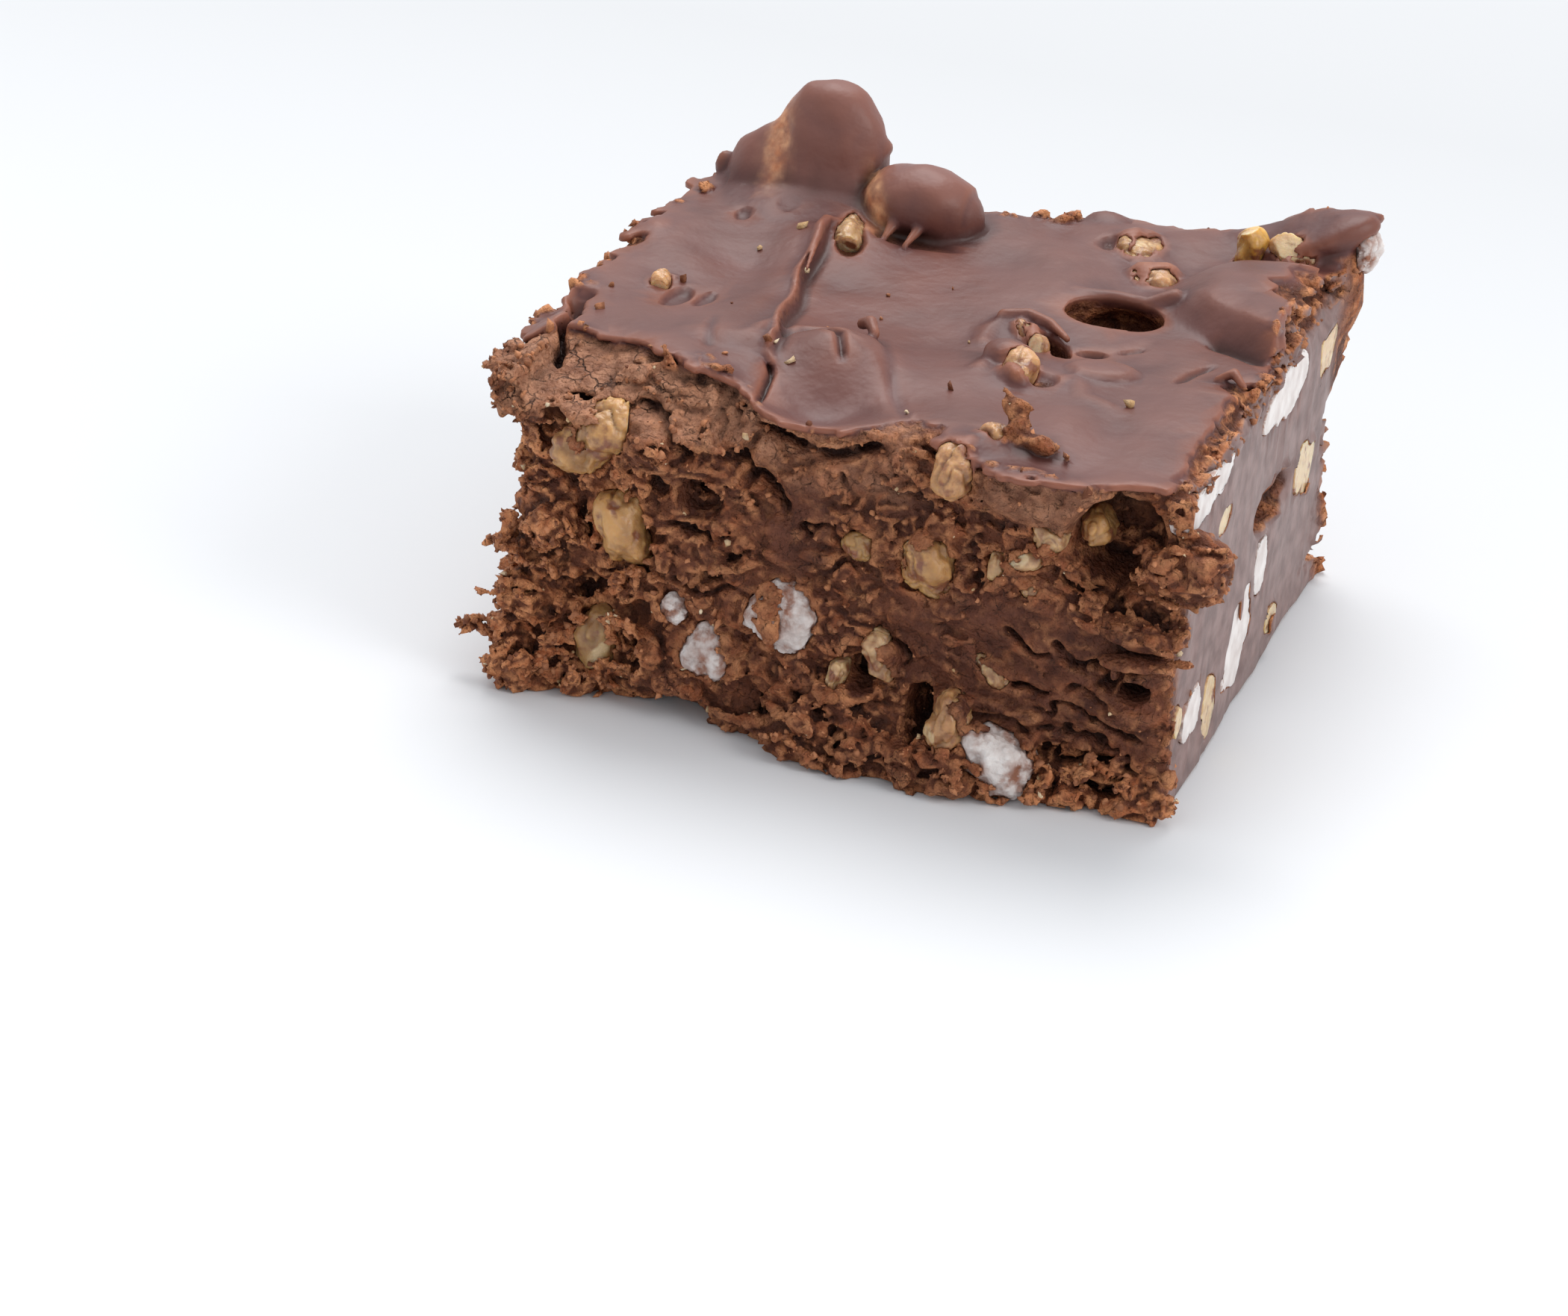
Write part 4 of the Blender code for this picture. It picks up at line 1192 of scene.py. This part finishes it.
def cut_side(paint):
    """1 on the smooth side that the knife cut, 0 elsewhere."""
    facing = paint.node("ShaderNodeTexCoord").outputs["Normal"]
    spans = (
        (paint.place, "X", WIDTH - 1.2, WIDTH - 0.6, ORIGIN[0], MM),
        (paint.place, "Y", 1.2, 3.0, ORIGIN[1], MM),
        (paint.place, "Y", 53.0, 51.0, ORIGIN[1], MM),
        (facing, "X", 0.45, 0.75, 0.0, 1.0),
    )
    out = 1.0
    for source, axis, low, high, zero, unit in spans:
        value = paint.node("ShaderNodeSeparateXYZ", {0: source}).outputs[axis]
        out = paint.times(paint.spread(value, (low - zero) * unit, (high - zero) * unit), out)
    return out


def fine_cracks(paint):
    """Lines of a net of fine cracks, 0 between them and where the net gives out."""
    sizes = {"Vector": paint.place, "Scale": 1.0 / (1.1 * MM), "Detail": 3.0}
    noise = paint.node("ShaderNodeTexNoise", sizes)
    shift = paint.node("ShaderNodeVectorMath", {0: noise.outputs["Color"], 1: (0.0011, 0.0011, 0.0011)},
                       operation="MULTIPLY")
    moved = paint.node("ShaderNodeVectorMath", {0: paint.place, 1: shift.outputs[0]}, operation="ADD")
    net = paint.node("ShaderNodeTexVoronoi", {"Vector": moved.outputs[0], "Scale": 1.0 / (1.5 * MM)},
                     feature="DISTANCE_TO_EDGE")
    lines = paint.spread(net.outputs["Distance"], 0.0, 0.07, 1.0, 0.0)
    lines = paint.maths("MAXIMUM", paint.times(lines, paint.cloud(2.4, 3.0, -0.6, 1.0)), 0.0)
    return paint.times(lines, paint.maths("MAXIMUM", paint.fact("dry"), 0.45))


def fudge_material():
    paint = Paint("fudge_fine", 0.5)
    cloud, blend, times, fact = paint.cloud, paint.blend, paint.times, paint.fact
    colour = blend(cloud(2.6, 4.0), (0.092, 0.026, 0.013, 1), (0.220, 0.070, 0.030, 1))
    colour = blend(cloud(8.0, 2.0, -0.5, 0.5), colour, (0.060, 0.018, 0.010, 1))
    # Convex edges and some grains are painted orange: partly the crumbs' own colour, partly painted
    # highlight on the edges
    warm_and_highlight = blend(cloud(1.7, 4.0), (0.40, 0.122, 0.046, 1), (0.72, 0.31, 0.135, 1))
    lift = paint.maths("ADD", fact("edge"), times(fact("tag"), cloud(0.9)))
    colour = blend(paint.spread(lift, 0.20, 1.00), colour, warm_and_highlight)
    plain = blend(cloud(3.0, 4.0), (0.070, 0.021, 0.012, 1), (0.145, 0.047, 0.026, 1))
    colour = blend(times(fact("smear"), cloud(1.4, 3.0, 0.55, 1.0)), colour, plain)
    dry = blend(cloud(1.2, 4.0), (0.250, 0.106, 0.058, 1), (0.54, 0.262, 0.152, 1))
    colour = blend(times(fact("dry"), cloud(1.6, 4.0, 0.6, 1.0)), colour, dry)
    cracks = fine_cracks(paint)
    # Painted shade: the lines of the fine crack net are painted near black
    colour = blend(cracks, colour, (0.045, 0.016, 0.009, 1))
    # The knife-cut side is painted a pale grey-pink: partly its own paler tone, partly painted sheen
    cut = blend(cloud(2.0, 4.0), (0.152, 0.088, 0.078, 1), (0.255, 0.162, 0.146, 1))
    side = cut_side(paint)
    colour = blend(side, colour, cut)
    skin = blend(cloud(7.0), (0.090, 0.031, 0.027, 1), (0.125, 0.046, 0.039, 1))
    # Painted light: the upper coat of the back nuts is painted paler
    skin = blend(fact("thin"), skin, (0.190, 0.078, 0.062, 1))
    # The skin's convex rims are painted orange: partly the rim's own colour, partly painted highlight
    rim = blend(times(fact("edge"), 0.75), skin, (0.30, 0.105, 0.058, 1))
    colour = blend(fact("skin"), colour, rim)
    # Painted shade: the hollows are painted near black
    colour = blend(fact("hollow_shade"), colour, (0.030, 0.009, 0.005, 1))
    tan = blend(cloud(1.4), (0.50, 0.19, 0.085, 1), (0.80, 0.42, 0.22, 1))
    colour = blend(times(fact("bare"), cloud(1.2, 3.0, 0.4, 1.0)), colour, tan)
    paint.put(colour, paint.inputs["Base Color"])
    # The skin and the cut side are smoother than the broken faces
    sheen = paint.maths("MAXIMUM", fact("skin"), side)
    paint.put(paint.spread(sheen, 0.0, 1.0, 0.57, 0.45), paint.inputs["Roughness"])
    paint.put(paint.spread(sheen, 0.0, 1.0, 0.22, 0.33), paint.inputs["Specular IOR Level"])
    broken = paint.maths("SUBTRACT", 1.0, sheen)
    specks = paint.node("ShaderNodeTexVoronoi", {"Vector": paint.place, "Scale": 1.0 / (0.42 * MM)})
    paint.bump(((times(cracks, broken), -0.22),
                (times(cloud(0.45, 5.0), broken), 0.18),
                (times(specks.outputs["Distance"], broken), -0.10),
                (cloud(2.6, 3.0), 0.055),
                (cloud(0.9, 2.0), 0.006)))
    return paint.made


def walnut_material():
    paint = Paint("walnut_fine", 0.32)
    cloud, blend, times, fact = paint.cloud, paint.blend, paint.times, paint.fact
    tint = paint.node("ShaderNodeAttribute", attribute_name="tint").outputs["Color"]
    deep = blend(0.55, tint, (0.30, 0.15, 0.045, 1))
    colour = blend(cloud(2.2), deep, tint)
    colour = blend(times(fact("crease"), cloud(1.0, 2.0, 0.0, 0.4)), colour, (0.22, 0.11, 0.04, 1))
    colour = blend(times(fact("facet"), cloud(0.8, 3.0, 0.3, 0.9)), colour, (0.72, 0.56, 0.34, 1))
    smear = paint.node("ShaderNodeClamp", {"Value": cloud(1.9, 4.0, -2.3, 1.0)}).outputs[0]
    colour = blend(smear, colour, (0.24, 0.09, 0.045, 1))
    whole = paint.maths("SUBTRACT", 1.0, fact("facet"))
    near = times(times(fact("rim"), whole), cloud(0.8, 3.0, 0.1, 0.9))
    colour = blend(near, colour, (0.20, 0.075, 0.035, 1))
    paint.put(colour, paint.inputs["Base Color"])
    paint.wax(0.6, (1.0, 0.6, 0.25), 0.0016)
    paint.bump(((cloud(0.5, 4.0), 0.03), (cloud(0.15, 3.0), 0.008)))
    return paint.made


def marshmallow_material():
    paint = Paint("marshmallow_fine", 0.7, 0.3)
    cloud, blend, times, fact = paint.cloud, paint.blend, paint.times, paint.fact
    colour = blend(cloud(2.0), (0.76, 0.71, 0.68, 1), (0.60, 0.53, 0.50, 1))
    smear = paint.node("ShaderNodeClamp", {"Value": cloud(1.6, 5.0, -0.9, 1.3)}).outputs[0]
    clean = paint.maths("SUBTRACT", 1.0, fact("facet"))
    dirty = times(times(smear, clean), fact("crease"))
    colour = blend(dirty, colour, (0.26, 0.11, 0.065, 1))
    near = times(times(fact("rim"), clean), cloud(0.8, 3.0, 0.2, 1.0))
    colour = blend(near, colour, (0.30, 0.13, 0.080, 1))
    paint.put(colour, paint.inputs["Base Color"])
    paint.wax(0.5, (1.0, 0.9, 0.85), 0.0015)
    paint.bump(((times(cloud(0.35, 5.0), clean), 0.07),))
    return paint.made


def crumb_material(name, low, high):
    paint = Paint(name, 0.65, 0.25)
    mixed = paint.node("ShaderNodeMath", {0: paint.fact("tag"), 1: paint.cloud(0.7, 3.0, -0.25, 0.25)},
                       operation="ADD", use_clamp=True).outputs[0]
    paint.put(paint.blend(mixed, low, high), paint.inputs["Base Color"])
    paint.bump(((paint.cloud(0.2, 4.0), 0.04),))
    return paint.made


def studio():
    """Pale floor, soft light and the photograph's camera."""
    mesh = bpy.data.meshes.new("floor")
    side = 3.0
    square = [(-side, -side, 0), (side, -side, 0), (side, side, 0), (-side, side, 0)]
    mesh.from_pydata(square, [], [(0, 1, 2, 3)])
    floor = new_object("floor", mesh)
    # Painted shade: the floor is painted darker towards the back, to even out the stronger light that falls
    # there away from the piece
    paint = Paint("floor_pale", 1.0, 0.0)
    away = paint.node("ShaderNodeSeparateXYZ", {0: paint.place}).outputs["Y"]
    floor_painted_shade = paint.blend(paint.spread(away, -0.04, 0.15), (0.745, 0.752, 0.765, 1), (0.575, 0.580, 0.588, 1))
    paint.put(floor_painted_shade, paint.inputs["Base Color"])
    mesh.materials.append(paint.made)

    world = bpy.data.worlds.new("studio")
    world.use_nodes = True
    back = world.node_tree.nodes["Background"]
    back.inputs["Color"].default_value = (0.93, 0.96, 1.0, 1.0)
    back.inputs["Strength"].default_value = 0.78
    bpy.context.scene.world = world

    def softbox(name, at, size, power, aim=(0.0, 0.0, 0.015)):
        light = bpy.data.lights.new(name, "AREA")
        light.shape = "DISK"
        light.size = size
        light.energy = power
        lamp = new_object(name, light)
        lamp.location = at
        lamp.rotation_euler = (Vector(aim) - Vector(at)).to_track_quat("-Z", "Y").to_euler()

    softbox("overhead", (-0.26, 0.74, 1.30), 1.20, 17.5)
    softbox("side", (1.20, -0.20, 0.80), 0.80, 8.0)

    camera = bpy.data.cameras.new("camera")
    camera.lens = CAMERA_LENS
    camera.sensor_width = SENSOR
    camera.clip_start = 0.01
    viewer = new_object("camera", camera)
    right, up = Vector(CAMERA_RIGHT), Vector(CAMERA_UP)
    facing = Matrix((right, up, right.cross(up))).transposed().to_4x4()
    viewer.matrix_world = Matrix.Translation((Vector(CAMERA_AT) - Vector(ORIGIN)) * MM) @ facing
    bpy.context.scene.camera = viewer
    bpy.context.scene.view_settings.view_transform = "Standard"


def main():
    studio()
    kinds = {"walnut": [], "marshmallow": []}
    finishes = {"walnut": walnut_material(), "marshmallow": marshmallow_material()}
    for number, name in enumerate(sorted(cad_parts)):
        if name == "fudge":
            continue
        kind = name.split("_")[0]
        piece = inclusion(name, number, kind)
        piece.data.materials.clear()
        piece.data.materials.append(finishes[kind])
        kinds[kind].append(piece)
    field, skin = fudge_field(solid_array(kinds["walnut"]), solid_array(kinds["marshmallow"]))
    for piece in kinds["walnut"] + kinds["marshmallow"]:
        away = np.maximum(sample(field, vertices(piece.data)) - GAP, 0.0)
        set_attribute(piece.data, "rim", np.exp(-away / 0.30))
    body = body_mesh(field)
    shade_body(body, field, skin)
    field_normals(body.data, field)
    body.data.materials.clear()
    body.data.materials.append(fudge_material())
    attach(body, "root")
    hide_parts("fudge")

    brown = crumb_material("crumb_brown", (0.15, 0.048, 0.022, 1), (0.54, 0.225, 0.105, 1))
    pale = crumb_material("crumb_pale", (0.52, 0.32, 0.15, 1), (0.80, 0.66, 0.46, 1))
    mesh = body.data
    edge = read(mesh.attributes["edge"].data, "value")
    own = read(mesh.attributes["skin"].data, "value")

    def on_front(p, n):
        rough = crumbliness(p[:, 0], p[:, 2]) ** 1.5
        rough = rough * (0.05 + edge) * (1.0 - own) * (1.0 - step(p[:, 1], 3.0, 9.5))
        return rough * step(p[:, 2], 0.3, 0.8)

    def on_sides(p, n):
        beside = np.maximum(step(-p[:, 0], -3.0, -0.5), 0.5 * step(p[:, 1], 51.5, 53.0))
        beside = np.maximum(beside, step(p[:, 0], 58.0, 59.0) * step(p[:, 2], 26.5, 28.5))
        return beside * (0.05 + edge) * (1.0 - 0.9 * own) * step(p[:, 2], 0.3, 0.8)

    stuck_crumbs("front_crumbs", body, 4200, (0.07, 0.34), on_front, 71, brown, "fudge")
    stuck_crumbs("side_crumbs", body, 2600, (0.08, 0.36), on_sides, 74, brown, "fudge")
    stuck_crumbs("nut_crumbs", body, 90, (0.12, 0.42), on_front, 72, pale, "walnut")
    p = vertices(mesh)
    high = np.nonzero((p[:, 2] > 28.5) & (own > 0.6))[0]
    for name, spots, finish, slot in (("top_crumbs", TOP_CRUMBS, brown, "fudge"),
                                      ("top_nut_crumbs", TOP_NUT_CRUMBS, pale, "walnut")):
        spots = np.array(spots)
        gap = (p[high, 0][None] - spots[:, 0:1]) ** 2 + (p[high, 1][None] - spots[:, 1:2]) ** 2
        centres = p[high[gap.argmin(1)]] + (0.0, 0.0, 0.5) * spots[:, 2:3]
        crumb_mesh(name, centres, spots[:, 2], 75, finish, slot)


main()
